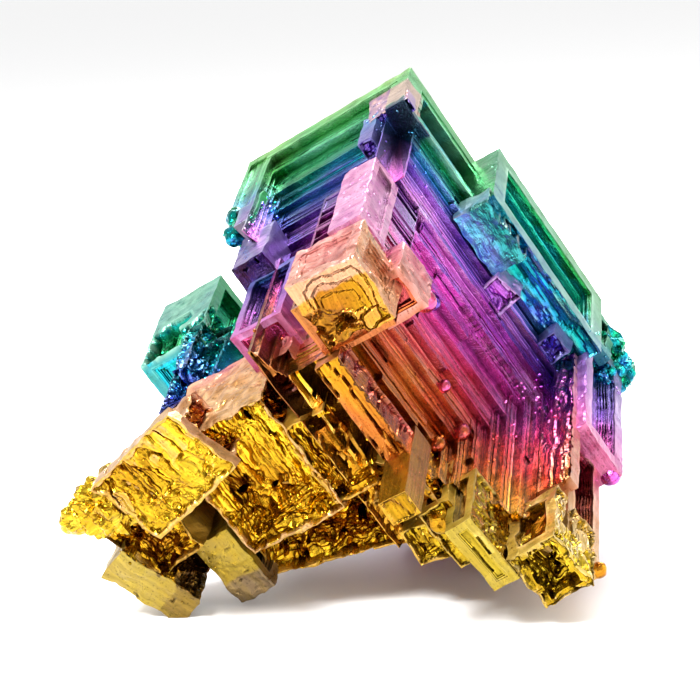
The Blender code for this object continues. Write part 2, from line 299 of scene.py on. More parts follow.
def crust(deep, ridge, bubbleFrom, rim=0.5, sunken=0.5, long=9.0, pits=0.0, slant=0.0):
    # ridges that run along b, or aslant, broken into froth past a certain b, inside a thin raised rim
    def relief(rng, grids, low, high):
        seed = int(rng.integers(0, 900))
        spots, shape = spotsOn(grids)
        turn = math.radians(slant)
        bent = spots + wander(spots, 2.6, seed) * [0.45, 0.4, 0]
        bent = bent @ np.array([[math.cos(turn), math.sin(turn), 0], [-math.sin(turn), math.cos(turn), 0], [0, 0, 1]])
        planks = valueNoise(bent * [1 / (ridge * 2.4), 1 / (ridge * long * 1.3), 1], 1.0, seed + 6)
        fine = valueNoise(bent * [1 / (ridge * 0.6), 1 / (ridge * long), 1], 1.0, seed + 5)
        grooves = smoothStep((0.13 - np.abs(valueNoise(bent * [1 / (ridge * 1.6), 1 / (ridge * long), 1], 1.0, seed + 4)
                                            - 0.5)) * 9)
        ridges = 0.5 * smoothStep((planks - 0.5) * 4 + 0.5) + 0.22 * np.abs(fine * 2 - 1) + 0.5 * grooves
        froth = valueNoise(bent, ridge * 1.35, seed + 7)
        lumps = valueNoise(bent, ridge * 2.6, seed + 8)
        bubbles = 0.75 * np.abs(froth * 2 - 1) ** 0.8 + 0.45 * lumps
        ragged = (valueNoise(spots, 1.6, seed + 9) - 0.5) * 5
        share = smoothStep((spots[:, 1] + ragged - bubbleFrom) / 1.6)
        found = deep * (ridges * (1 - share) + bubbles * share)
        if pits:
            holes = valueNoise(spots, 1.15, seed + 11)
            found += smoothStep((holes - 0.80) * 14) * pits
        edge = np.full(len(spots), np.inf)
        for n in (0, 1):
            edge = np.minimum(edge, np.minimum(spots[:, n] - low[n], high[n] - spots[:, n]))
        edge += (valueNoise(spots, 0.7, seed + 10) - 0.5) * 0.5
        inside = smoothStep((edge - rim * 0.5) / (rim * 0.6))
        return ((found + sunken) * inside + found * 0.15).reshape(shape)
    relief.bareFrom = sunken * 0.4 + 0.06
    return relief


def partly(whole, start):
    # the same relief, but only past a ragged line across the side
    def relief(rng, grids, low, high):
        found = whole(rng, grids, low, high)
        spots, shape = spotsOn(grids)
        ragged = (valueNoise(spots, 2.0, 61) - 0.5) * 5
        return found * smoothStep((spots[:, 1] + ragged - start) / 1.2).reshape(shape)
    relief.bareFrom = whole.bareFrom
    return relief


def headContours(rng, grids, low, high):
    # the golden head's front: a raised rim, wandering contour lines, a drop-shaped hole and a small square ring
    spots, shape = spotsOn(grids)
    bent = spots + wander(spots, 1.7, 71) * [0.85, 0.85, 0] + wander(spots, 0.5, 75) * [0.12, 0.12, 0]
    edge = np.minimum(np.minimum(bent[:, 0] - low[0], high[0] - bent[:, 0]),
                      np.minimum(bent[:, 1] - low[1], high[1] - bent[:, 1]))
    found = np.zeros(len(spots))
    for at, width, deep, level in ((0.95, 0.14, 0.24, 0.10), (1.85, 0.14, 0.36, 0.26), (2.75, 0.14, 0.42, 0.34)):
        found = np.maximum(found, deep * smoothStep(1.4 - np.abs(edge - at) / width))
        found = np.maximum(found, level * (edge > at))
    hole = np.hypot((bent[:, 0] - 5.4) / 0.75, (bent[:, 1] - 5.2) / 0.62)
    found = np.maximum(found, 1.1 * smoothStep((1.25 - hole) * 1.6))
    rimOfHole = smoothStep(1 - np.abs(hole - 1.45) / 0.35) * 0.25
    found = found - rimOfHole
    ring = np.maximum(np.abs(bent[:, 0] - 3.3) / 0.75, np.abs(bent[:, 1] - 6.4) / 1.0)
    found = np.where(ring < 1.2, np.maximum(0.08, 0.42 * smoothStep(1.5 - np.abs(ring - 1.0) / 0.14)), found)
    melted = smoothStep((spots[:, 0] - 5.6 + 0.6 * (spots[:, 1] - 4.6)) / 1.6) * smoothStep((spots[:, 1] - 3.0) / 1.5)
    rough = np.abs(valueNoise(bent, 0.8, 81) * 2 - 1) * 0.8 + valueNoise(bent, 1.7, 83) * 0.9
    found = found * (1 - melted) + (0.25 + rough) * melted
    return np.maximum(found + (valueNoise(spots, 0.4, 85) - 0.5) * 0.05, -0.2).reshape(shape)


headContours.bareFrom = 0.16


def weathered(deep, size, seed):
    # a face that is nearly flat, with shallow dents and small pits
    def relief(rng, grids, low, high):
        spots, shape = spotsOn(grids)
        dents = valueNoise(spots, size, seed) * deep
        pits = smoothStep((valueNoise(spots, size * 0.35, seed + 3) - 0.82) * 12) * deep * 1.2
        edge = np.minimum(np.minimum(spots[:, 0] - low[0], high[0] - spots[:, 0]),
                          np.minimum(spots[:, 1] - low[1], high[1] - spots[:, 1]))
        chips = smoothStep((0.22 - edge) / 0.2) * smoothStep((valueNoise(spots, 0.8, seed + 5) - 0.45) * 4) * deep * 0.4
        return (dents + pits + chips).reshape(shape)
    return relief


# blocks


def blockLines(low, high, marks, dense, spacing):
    # all lines along one axis, and those that a given set of marks calls for
    hair = growth["hair"]

    def linesFor(own, step):
        count = max(1, int(round((high - low) / step)))
        lines = list(np.linspace(low, high, count + 1))
        for mark in own:
            if low + 3 * hair < mark < high - 3 * hair:
                lines += [mark - hair, mark + hair]
        return np.unique(np.round(lines, 4))

    perSide = {key: linesFor(own, dense.get(key, spacing)) for key, own in marks.items()}
    return np.unique(np.concatenate(list(perSide.values()))), perSide


def sideFaces(size, axis, side, keepU, keepV):
    # faces of one side: the outer ones also take in every point along the block's edges
    u, v = otherAxes(axis)
    stride = [size[1] * size[2], size[2], 1]
    base = (size[axis] - 1) * (side > 0) * stride[axis]
    lastU, lastV = size[u] - 1, size[v] - 1
    flip = (axis != 1) != (side > 0)
    su, sv = stride[u], stride[v]
    faces = []
    for p, p2 in zip(keepU[:-1], keepU[1:]):
        for q, q2 in zip(keepV[:-1], keepV[1:]):
            face = [base + x * su + q * sv for x in (range(p, p2) if q == 0 else (p,))]
            face += [base + p2 * su + y * sv for y in (range(q, q2) if p2 == lastU else (q,))]
            face += [base + x * su + q2 * sv for x in (range(p2, p, -1) if q2 == lastV else (p2,))]
            face += [base + p * su + y * sv for y in (range(q2, q, -1) if p == 0 else (q2,))]
            faces.append(face[::-1] if flip else face)
    return faces


def fourCorners(faces):
    return np.array([[f[0], f[len(f) // 4], f[len(f) // 2], f[3 * len(f) // 4]] for f in faces])


def bulge(places, faces):
    # 1 on edges that stick out, 0 in corners that go in, and a half on flats: used for painted highlights on outer
    # edges and painted shade in inner corners
    corner = fourCorners(faces)
    p = places[corner]
    normal = np.cross(p[:, 2] - p[:, 0], p[:, 3] - p[:, 1])
    normal /= np.maximum(np.linalg.norm(normal, axis=1, keepdims=True), 1e-9)
    middle = p.mean(axis=1)
    total = np.zeros_like(places)
    for n in range(4):
        np.add.at(total, corner[:, n], normal)
    total /= np.maximum(np.linalg.norm(total, axis=1, keepdims=True), 1e-9)
    lean, count = np.zeros(len(places)), np.zeros(len(places))
    for n in range(4):
        way = middle - places[corner[:, n]]
        way /= np.maximum(np.linalg.norm(way, axis=1, keepdims=True), 1e-9)
        np.add.at(lean, corner[:, n], (way * total[corner[:, n]]).sum(axis=1))
        np.add.at(count, corner[:, n], 1)
    return np.clip(0.5 - 1.1 * lean / np.maximum(count, 1), 0, 1)


# Slots between the finished crystals: they cut every block that they reach, save turned blocks and those marked whole.
slots = [
    ((-6.0, 3.2, 2.7), (3.2, 14.6, 7.6)),
    ((12.6, 7.6, 37.4), (14.4, 24.2, 60.0)),
    ((15.6, 8.2, 39.0), (17.3, 15.6, 60.0)),
    ((12.2, 24.8, 36.0), (15.7, 30.2, 60.0)),
    ((7.4, 25.2, 41.0), (9.6, 27.6, 60.0)),
]
blockLook = {"pale": "#C9BDB2", "share": 0.35, "dull": 0.75, "spacing": 0.8, "finer": 3, "rough": 0.06}


def carvingsOf(block, rng, low, high):
    found = {}
    for axis, side, rim, ledge, drop, steps in block.get("pits", []):
        pit = hopperPit(rng, low, high, axis, side, rim, ledge, drop, steps, block.get("finer", blockLook["finer"]))
        found.setdefault((axis, side), []).append(pit)
    for key, carving in block.get("carved", []):
        found.setdefault(key, []).append(carving)
    notches = list(block.get("notches", [])) + ([] if block.get("turn") or block.get("whole") else slots)
    for notchLow, notchHigh in notches:
        if all(notchLow[i] < high[i] - 0.1 and notchHigh[i] > low[i] + 0.1 for i in range(3)):
            for key, carving in notchCarvings(low, high, notchLow, notchHigh).items():
                found.setdefault(key, []).append(carving)
    return found


def looseLoops(face):
    # an outline that touches itself becomes separate loops, and what closed up goes
    loops, path, at = [], [], {}
    for point in face:
        if point in at:
            start = at[point]
            loop = path[start:]
            if len(loop) > 2:
                loops.append(loop)
            for old in path[start + 1:]:
                del at[old]
            del path[start + 1:]
        else:
            at[point] = len(path)
            path.append(point)
    if len(path) > 2:
        loops.append(path)
    return loops


def turnAbout(places, middle, degrees):
    turn = np.array(Euler([math.radians(angle) for angle in degrees]).to_matrix())
    return (places - middle) @ turn.T + middle


sideOrder = [(b, -1), (a, -1), (c, 1), (a, 1), (b, 1), (c, -1)]


def makeBlock(block):
    rng = np.random.default_rng(block["seed"])
    low, high = np.array(block["low"], float), np.array(block["high"], float)
    found = carvingsOf(block, rng, low, high)
    reliefs = block.get("relief", {})
    spacing = block.get("spacing", blockLook["spacing"])
    lines, perSide = [], {}
    for axis in range(3):
        marks, dense = {}, {}
        for key in sideOrder:
            if key[0] == axis:
                continue
            marks[key] = [m for carving, _ in found.get(key, []) for m in carving.get(axis, [])]
            marks[key] += [low[axis] + 0.05, high[axis] - 0.05]
            if key in reliefs:
                dense[key] = block.get("dense", 0.16)
        every, own = blockLines(low[axis], high[axis], marks, dense, spacing)
        lines.append(every)
        perSide[axis] = {key: np.searchsorted(every, value) for key, value in own.items()}
    size = [len(line) for line in lines]
    faces, faceSide = [], []
    for axis, side in sideOrder:
        u, v = otherAxes(axis)
        keepU, keepV = perSide[u][(axis, side)].tolist(), perSide[v][(axis, side)].tolist()
        if (axis, side) in block.get("hidden", []):
            keepU, keepV = [0, size[u] - 1], [0, size[v] - 1]
        faces += sideFaces(size, axis, side, keepU, keepV)
        faceSide += [axis] * (len(faces) - len(faceSide))
    codes = np.unique(np.concatenate([np.array(face) for face in faces]))
    index = [codes // (size[1] * size[2]), codes // size[2] % size[1], codes % size[2]]
    places = np.stack([lines[i][index[i]] for i in range(3)], axis=1)
    sideOf = np.full(len(codes), -1)
    sunkBy, raised, bare = np.zeros(len(codes)), np.zeros(len(codes)), np.zeros(len(codes))
    for number, (axis, side) in reversed(list(enumerate(sideOrder))):
        u, v = otherAxes(axis)
        onSide = index[axis] == (size[axis] - 1) * (side > 0)
        sideOf[onSide] = number
    for number, (axis, side) in enumerate(sideOrder):
        u, v = otherAxes(axis)
        grids = [lines[u], lines[v]]
        sunk = np.zeros((size[u], size[v]))
        for _, depth in found.get((axis, side), []):
            sunk = np.maximum(sunk, depth(grids))
        sunkBy = np.where(sideOf == number, sunk[index[u], index[v]], sunkBy)
        if (axis, side) in reliefs:
            uneven = reliefs[(axis, side)](rng, grids, low[[u, v]], high[[u, v]])
            raised = np.where(sideOf == number, uneven[index[u], index[v]], raised)
            bareFrom = getattr(reliefs[(axis, side)], "bareFrom", 0.4)
            bare = np.where(sideOf == number, np.clip((raised - bareFrom) / 0.1, 0, 1), bare)
            sunk = sunk + uneven
        if not sunk.any():
            continue
        sunk = np.minimum(sunk, (high[axis] - low[axis]) * 0.97)
        limit = sunk[index[u], index[v]]
        if side < 0:
            places[:, axis] = np.maximum(places[:, axis], low[axis] + limit)
        else:
            places[:, axis] = np.minimum(places[:, axis], high[axis] - limit)
    _, first, same = np.unique(np.round(places, 4), axis=0, return_index=True, return_inverse=True)
    same = same.reshape(-1)
    places, sideOf, sunkBy, raised, bare = (found[first] for found in (places, sideOf, sunkBy, raised, bare))
    lookup = dict(zip(codes.tolist(), same.tolist()))
    welded, axes = [], []
    for face, axis in zip(faces, faceSide):
        loops = looseLoops([lookup[code] for code in face])
        welded += loops
        axes += [axis] * len(loops)
    return dressBlock(block, places, welded, np.array(axes), sideOf, sunkBy, raised, bare, low, high)


def riserShade(block, places, faces, axes):
    # steep faces are darker, since little light reaches between the steps
    corner = fourCorners(faces)
    p = places[corner]
    normal = np.abs(np.cross(p[:, 2] - p[:, 0], p[:, 3] - p[:, 1]))
    steep = normal.argmax(axis=1) != axes
    middle = p.mean(axis=1)
    dark = block.get("riser", 0.4) * (0.7 + 0.7 * valueNoise(middle * [0.25, 0.25, 1.6], 1.0, block["seed"] + 31))
    return np.where(steep, dark, 1.0)


def dressBlock(block, places, faces, axes, sideOf, sunkBy, raised, bare, low, high):
    # the film's colour with painted highlights and shade in it, how dull it is, and the way its fine lines run, at each
    # point
    seed = block["seed"]
    middle = (low + high) / 2
    turned = turnAbout(places, middle, block.get("turn", (0, 0, 0)))
    film = block.get("film")
    if film is None:
        place = turned[:, 2].copy()
    else:
        place = film[0] + (film[1] - film[0]) * (places[:, 2] - low[2]) / (high[2] - low[2])
    dull = np.zeros(len(places))
    share = np.zeros(len(places))
    pale = np.tile(linear(block.get("pale", blockLook["pale"])), (len(places), 1))
    grown = np.zeros_like(places)
    flat = np.clip(1 - (sunkBy - 0.02) / 0.05, 0, 1) * (1 - bare)
    treadHue = np.zeros(len(places))
    for number, (axis, side) in enumerate(sideOrder):
        here = sideOf == number
        if not here.any():
            continue
        look = block.get("sides", {}).get((axis, side), {})
        if "film" in look:
            along = look.get("along", c)
            ends = look["film"]
            if isinstance(ends, tuple):
                ends = {low[along]: ends[0], high[along]: ends[1]}
            place[here] = np.interp(places[here, along], list(ends), list(ends.values()))
        if "pale" in look:
            pale[here] = linear(look["pale"])
        whole = look.get("whole", 0.0)
        flatHere = np.maximum(flat[here], whole * (1 - bare[here]))
        dull[here] = flatHere * look.get("dull", block.get("dull", blockLook["dull"]))
        share[here] = flatHere * look.get("share", block.get("share", blockLook["share"]))
        line = look.get("line", {a: b, b: a, c: b}[axis])
        across = ({a, b, c} - {axis, line}).pop()
        grown[here] = places[here][:, [line, across, axis]]
        stretch = np.full(3, 0.12)
        stretch[axis] = 3.4
        treadHue[here] = valueNoise(places[here] * stretch, 1.0, seed + number) - 0.5
    place += treadHue * block.get("treadHue", 5.0) * (1 - flat * 0.6)
    place += (valueNoise(places, 4.2, seed) - 0.5) * 3.6 + (valueNoise(places, 1.1, seed + 3) - 0.5) * 1.6
    edge = bulge(places, faces)
    # deep parts of a relief: the film shifts down its scale here, and below the colour is darkened there as painted
    # shade
    hollow = np.clip((raised - block.get("shallow", 0.35)) / 1.1, 0, 1)
    place -= hollow * 2.4
    colour = filmColour(place)
    mottled = np.clip(0.75 + (valueNoise(places, 0.7, seed + 5) - 0.5) * 0.9, 0, 1.2)
    # painted highlight: outer edges of flat faces take more of the pale rim colour
    share = np.clip(share * mottled + 0.25 * (edge > 0.75) * flat, 0, 0.95)[:, None]
    colour = colour * (1 - share) + pale * share
    # painted sheen, partly a paler film: sunk treads are lifted toward a pale grey, less in inner corners and further
    # along c
    if "veil" in block:
        veil = np.clip(treadHue * 2.2 + 0.35, 0, 1) * block["veil"] * (1 - flat) * np.clip(edge * 2, 0, 1)
        veil *= 1 - 0.7 * smoothStep((turned[:, 2] - 22) / 10)
        colour = colour * (1 + 0.3 * veil[:, None]) + (0.7 - colour) * 0.26 * veil[:, None]
        dull = np.maximum(dull, veil * 0.3)
    for tintLow, tintHigh, code, amount, matte, streaked in block.get("tints", []):
        inside = np.ones(len(places))
        blurred = places + wander(places, 0.8, seed + 12) * 0.35
        for axis in range(3):
            inside *= smoothStep((blurred[:, axis] - tintLow[axis]) * 3) * smoothStep((tintHigh[axis] - blurred[:, axis]) * 3)
        streaks = valueNoise(places * [2.2, 0.14, 2.2], 1.0, seed + 17)
        amounts = (inside * amount * (1 - streaked + streaked * smoothStep(streaks * 2 - 0.5)))[:, None]
        colour = colour * (1 - amounts) + np.array(linear(code)) * amounts
        dull = dull * (1 - inside) + inside * matte
    if "patch" in block:
        code, size, level = block["patch"]
        amount = smoothStep((valueNoise(places, size, seed + 8) - level) * 14)[:, None]
        colour = colour * (1 - amount) + np.array(linear(code)) * amount
    lift = block.get("bright", 1.0)
    bright = (1 + (lift - 1) * (1 - flat) if lift > 1 else lift) * (1 + 0.5 * treadHue * (1 - flat))
    # painted highlight on outer edges and painted shade in inner corners (edge), painted shade in relief hollows
    # (hollow)
    colour *= ((0.42 + 0.78 * edge) * (1 - 0.32 * hollow) * bright)[:, None]
    colour = np.minimum(colour, 0.86)
    rough = block.get("rough", blockLook["rough"])
    turned = turned + wander(turned, 1.5, 5) * rough + wander(turned, 0.45, 9) * rough * 0.3
    return turned, faces, {"film": colour, "dull": np.clip(dull * mottled, 0, 1), "grown": grown,
                           "shade": riserShade(block, places, faces, axes)}


def makePiece(name, parts, material):
    # one mesh from a group of blocks, in the world, cut flat where it meets the table
    allPlaces, allFaces = [], []
    looks = {"film": [], "dull": [], "grown": [], "shade": []}
    offset = 0
    for places, faces, found in parts:
        allPlaces.append(places)
        allFaces += [[p + offset for p in face] for face in faces]
        offset += len(places)
        for key in looks:
            looks[key].append(found[key])
    grown = np.concatenate(allPlaces)
    beads = np.zeros(len(grown))
    for low, high, share in beadPlaces:
        inside = ((grown > low) & (grown < high)).all(axis=1)
        beads = np.where(inside, np.maximum(beads, share), beads)
    beads *= smoothStep((valueNoise(grown, 1.8, 90) - 0.4) * 3)
    world = (grown @ toWorld.T + apexPlace) * mm
    lowest, highest = np.array(cadBox[0]), np.array(cadBox[1])
    lowest[2] = -1.0
    world = np.clip(world, lowest, highest)
    mesh = bpy.data.meshes.new(name)
    mesh.from_pydata(world.tolist(), [], allFaces)
    # the film colour, with the painted highlights and shade of each block in it
    film = mesh.attributes.new("film", "FLOAT_COLOR", "POINT")
    colour = np.concatenate(looks["film"])
    film.data.foreach_set("color", np.hstack([colour, np.ones((len(colour), 1))]).ravel().astype(np.float32))
    dull = mesh.attributes.new("dull", "FLOAT", "POINT")
    dull.data.foreach_set("value", np.concatenate(looks["dull"]).astype(np.float32))
    grown = mesh.attributes.new("grown", "FLOAT_VECTOR", "POINT")
    grown.data.foreach_set("vector", np.concatenate(looks["grown"]).ravel().astype(np.float32))
    bead = mesh.attributes.new("bead", "FLOAT", "POINT")
    bead.data.foreach_set("value", beads.astype(np.float32))
    shade = mesh.attributes.new("shade", "FLOAT", "FACE")
    shade.data.foreach_set("value", np.concatenate(looks["shade"]).astype(np.float32))
    if world[:, 2].min() < 0:
        cutAtTable(mesh)
    mesh.materials.append(material)
    piece = bpy.data.objects.new(name, mesh)
    bpy.context.scene.collection.objects.link(piece)
    print(f"{name}: {len(parts)} parts, {sum(len(p.vertices) - 2 for p in mesh.polygons)} triangles")
    return piece


def cutAtTable(mesh):
    bm = bmesh.new()
    bm.from_mesh(mesh)
    everything = bm.verts[:] + bm.edges[:] + bm.faces[:]
    cut = bmesh.ops.bisect_plane(
        bm, geom=everything, plane_co=(0, 0, 0), plane_no=(0, 0, 1), dist=1e-7, clear_inner=True)
    edges = [e for e in cut["geom_cut"] if isinstance(e, bmesh.types.BMEdge) and e.is_boundary]
    bmesh.ops.holes_fill(bm, edges=edges, sides=0)
    bm.to_mesh(mesh)
    bm.free()


# the crystals: low corner, high corner, pits as (axis, side, rim, ledge, drop, steps)

mainBlocks = {
    "slab": dict(
        low=(0, 0, 0), high=(23, 44, 22), pale="#9CC79A", treadHue=7.0, whole=True, bright=1.5, riser=0.42,
        pits=[(c, -1, 3.0, 1.4, 1.1, 4), (b, 1, 2.6, 1.2, 1.0, 3), (a, 1, 2.4, 1.2, 1.0, 3)], hidden=[(c, 1)],
        carved=[((a, -1), hollowCarving(rightFlights, 0.0)), ((b, -1), hollowCarving(leftFlights, 0.0)),
                ((b, -1), rimStreaks(b, 0.26, 0.7, 2.6, 0.3, 41, (1.6, 20.6))),
                ((b, -1), rimStreaks(b, 0.42, 19.9, 22.7, 0.5, 46, (1.4, 14.6), upright=True)),
                ((a, -1), rimStreaks(a, 0.42, 2.8, 7.5, 0.7, 48, (3.3, 14.5), floor=3.2)),
                ((a, -1), rimStreaks(a, 0.3, 1.2, 9.3, 0.22, 42, (2.6, 41.5)))],
        notches=[((-3.0, -3.0, 9.8), (2.8, 3.6, 30.0)), ((21.3, -3.0, 14.9), (30.0, 9.6, 30.0)),
                 ((19.6, -3.0, 19.3), (30.0, 8.7, 31.0)), slots[0]],
        veil=0.75,
        tints=[((-1, -1, 3.3), (3.1, 3.3, 8.8), "#C7A398", 0.85, 0.7, 0.0),
               ((-1.0, -1.0, 8.6), (5.0, 5.4, 14.5), "#262B68", 0.92, 0.1, 0.3),
               ((-1.0, -1.0, 13.6), (5.0, 5.4, 21.6), "#6A45A0", 0.7, 0.2, 0.3),
               ((0.1, 3.0, 2.2), (4.6, 15.0, 8.2), "#0A9CB4", 0.95, 0.25, 0.2),
               ((0.1, 3.0, 2.2), (4.6, 15.0, 6.2), "#3CDCB4", 0.8, 0.25, 1.0)],
        sides={(b, -1): dict(film={0: 0.5, 4: 5, 9: 9.5, 12: 14, 22: 25}, pale="#8CBE92", share=0.3), (a, -1): dict(film={0: 1, 8: 8, 11: 11, 12.5: 14, 15: 20, 18: 24.5, 22: 28.5},
                                                                          pale="#8FBFA4", share=0.35)}),
}
frontBlocks = {
    "front": dict(
        low=(3.4, 4.3, 20.3), high=(17.4, 36.7, 44), pale="#B98A6A", treadHue=6.0, dense=0.33, bright=1.5, riser=0.42,
        share=0.1, dull=0.2, veil=0.75,
        tints=[((15.4, 3.0, 33.0), (18.2, 15.0, 45.0), "#8C4A2C", 0.8, 0.1, 0.3)],
        relief={(c, 1): crust(0.9, 0.5, 23.0, 0.3, 0.2, 14.0, 0.5)}, sides={(c, 1): dict(film=(45, 46), share=0.2), (a, -1): dict(film={20: 26.5, 24: 29, 28: 31.5, 31: 34.5, 36: 39, 44: 47})},
        carved=[((a, -1), hollowCarving(rightFlights, 3.4)), ((b, -1), hollowCarving(leftFlights, 4.3))],
        notches=[((12.4, 31.4, 33.3), (30.0, 50.0, 60.0)), ((9.2, 35.2, 39.4), (30.0, 50.0, 60.0))]),
}
apexBlocks = {
    "capArmA": dict(low=(0.0, 0.2, 2.2), high=(5.2, 1.9, 9.6), turn=(0, -6, 0), film=(22, 18), dense=0.2,
                    relief={(b, -1): weathered(0.16, 1.0, 3), (c, 1): crust(0.5, 0.4, 0.9, 0.2, 0.1)},
                    sides={(b, -1): dict(pale="#CFA79C", share=0.85, whole=0.8), (a, -1): dict(pale="#B7A1A6", share=0.7),
                           (c, 1): dict(film=(16, 17), share=0.1, dull=0.1)}),
    "capArmB": dict(low=(0.15, 0.1, 7.7), high=(2.3, 8.4, 9.3), turn=(0, 0, 0), film=(20, 17), dense=0.2,
                    relief={(a, -1): weathered(0.16, 0.9, 4), (c, 1): crust(0.45, 0.4, 2.0, 0.2, 0.1)},
                    sides={(a, -1): dict(pale="#BCA6AE", share=0.8, whole=0.8), (b, -1): dict(pale="#C9A39C", share=0.8),
                           (c, 1): dict(film=(16, 18), share=0.1, dull=0.1)}),
    "capHook": dict(low=(3.7, 0.3, 8.0), high=(5.6, 2.3, 15.0), film=(15, 17), pale="#8E93AE", rough=0.14,
                    relief={(c, 1): crust(0.4, 0.4, 1.0, 0.2, 0.1)}, dense=0.25),
    "windowBlock": dict(low=(-3.2, 13.8, -0.4), high=(2.6, 37.2, 12.4), film=(4, 13), pale="#9FC4AE", riser=0.6,
                        tints=[((-2.6, 15.6, 1.2), (3.0, 35.6, 10.8), "#0A9CB4", 0.92, 0.15, 0.2),
                               ((-2.6, 15.6, 1.2), (3.0, 35.6, 6.4), "#3CDCA8", 0.8, 0.15, 1.0)],
                        pits=[(a, -1, 2.2, 0.7, 1.3, 3), (c, -1, 1.3, 0.8, 0.7, 2)], finer=5, whole=True,
                        relief={(b, -1): weathered(0.1, 1.4, 5), (c, 1): crust(0.4, 0.45, 90, 0.25, 0.05, 26)}, dense=0.26,
                        bright=1.15, sides={(c, 1): dict(film=(10.2, 12.2), share=0.15, dull=0.2), (b, -1): dict(film=(5, 8), share=0.15, dull=0.2), (a, -1): dict(share=0.62, dull=0.8)}),
    "windowEnd": dict(low=(-2.2, 35.4, -0.2), high=(3.3, 41.3, 7.6), turn=(4, 0, 3), film=(7, 11),
                      pale="#8FC4AA", pits=[(a, -1, 1.1, 0.6, 0.8, 2)], rough=0.2),
    "windowArm": dict(low=(-2.8, 13.4, 10.9), high=(1.7, 21.6, 14.6), film=(10, 14), pale="#B59E92",
                      tints=[((-3.2, 12.0, 13.4), (-0.4, 22.5, 15.4), "#0C8478", 0.85, 0.2, 0.3)],
                      pits=[(c, 1, 0.7, 0.5, 0.08, 2)], rough=0.2, dense=0.25,
                      relief={(c, 1): weathered(0.12, 1.2, 8), (a, -1): crust(0.35, 0.4, 90, 0.2, 0.05)},
                      sides={(a, -1): dict(film=(10, 13), along=b, share=0.5),
                             (c, 1): dict(film=(12.5, 13), pale="#7FC6E0", share=0.7, dull=0.35, whole=0.8)}),
    "cubeUpper": dict(low=(0.2, 21.8, 11.7), high=(3.4, 25.4, 16.4), turn=(8, -5, 14), film=(20, 23), dense=0.2,
                      pale="#B7A3CB", share=0.6, rough=0.16, relief={(c, 1): crust(0.5, 0.5, 23.0, 0.35, 0.3),
                                                                     (a, -1): weathered(0.2, 0.8, 9)}),
    "cubeRight": dict(low=(-0.9, 31.5, 10.6), high=(2.4, 34.6, 14.8), turn=(5, 4, 8), film=(14, 18), dense=0.25,
                      pale="#9FA9C4", rough=0.18, relief={(c, 1): crust(0.5, 0.5, 32.0, 0.3, 0.3)}),
}
rightBlocks = {
    "rimUpper": dict(low=(-1.7, 36.3, 5.3), high=(4.2, 44.4, 27.6), film=(12, 31), pale="#C9A0C0", rough=0.12,
                     pits=[(a, -1, 1.7, 0.7, 0.8, 2)], finer=4, relief={(b, -1): weathered(0.35, 1.2, 12)}, dense=0.3,
                     sides={(a, -1): dict(line=c, share=0.45), (b, -1): dict(film=(14, 30), share=0.25, line=c),
                            (b, 1): dict(film=(16, 30), pale="#CFA0B5", share=0.7, line=c)}),
    "rimLower": dict(low=(0.4, 36.9, 26.3), high=(5.7, 43.1, 46.4), film=(31, 48), pale="#CFA284", rough=0.12,
                     pits=[(a, -1, 1.3, 0.7, 0.9, 2), (c, 1, 1.1, 0.7, 0.9, 2)], finer=4, relief={},
                     sides={(a, -1): dict(line=c, share=0.4), (b, 1): dict(line=c)}),
    "rimEdge": dict(low=(-0.6, 35.7, 12.3), high=(3.7, 37.4, 38.2), film=(22, 40), pale="#C79A80", rough=0.1,
                    relief={(a, -1): weathered(0.12, 1.0, 14), (b, -1): crust(0.45, 0.4, 90, 0.15, 0.05, 16)}, dense=0.2,
                    sides={(a, -1): dict(line=c, share=0.7, dull=0.8), (b, -1): dict(line=c, film={12: 22, 22: 27, 30: 34, 38: 41}, share=0.1, dull=0.1)}),
    "rightFoot": dict(low=(-0.1, 34.4, 41.3), high=(5.7, 41.5, 49.9), turn=(0, 0, 4), film=(46, 51),
                      notches=[((-away, 36.2, -away), (0.9, 37.6, 45.8))],
                      pale="#CDB07C", pits=[(c, 1, 0.9, 0.6, 1.1, 3), (b, -1, 1.2, 0.6, 0.6, 1)], finer=2,
                      relief={(c, 1): crust(0.55, 0.6, 36.0, 0.3, 0.0, 3.0), (a, -1): crust(0.3, 0.3, 90, 0.2, 0.05, 6),
                              (b, 1): weathered(0.3, 1.0, 16)}, bright=0.95, rough=0.34, sides={(a, -1): dict(share=0.5, line=c)}),
    "narrowFoot": dict(low=(5.8, 28.2, 41.6), high=(8.9, 36.7, 50.6), turn=(0, 0, 3), film=(50, 52),
                       pale="#D9C685", pits=[(b, -1, 0.9, 0.5, 0.5, 1), (c, 1, 0.8, 0.5, 0.25, 1)], bright=0.7, rough=0.12, dense=0.25, share=0.2,
                       notches=[((6.4, 30.4, 50.0), (6.75, 32.8, 60)), ((7.6, 31.2, 50.1), (7.85, 34.8, 60))],
                       relief={(a, -1): crust(0.35, 0.5, 33.0, 0.4, 0.15)},
                       sides={(c, 1): dict(film=(51, 53), share=0.1, dull=0.45)}),
    "footLedge": dict(low=(8.2, 27.3, 39.7), high=(11.9, 34.8, 46.9), turn=(0, 0, 3), film=(44, 50),
                      pale="#C9A563", pits=[(b, -1, 0.9, 0.5, 0.6, 2)], rough=0.15,
                      relief={(c, 1): crust(0.5, 0.5, 30.0, 0.3, 0.2)}),
}
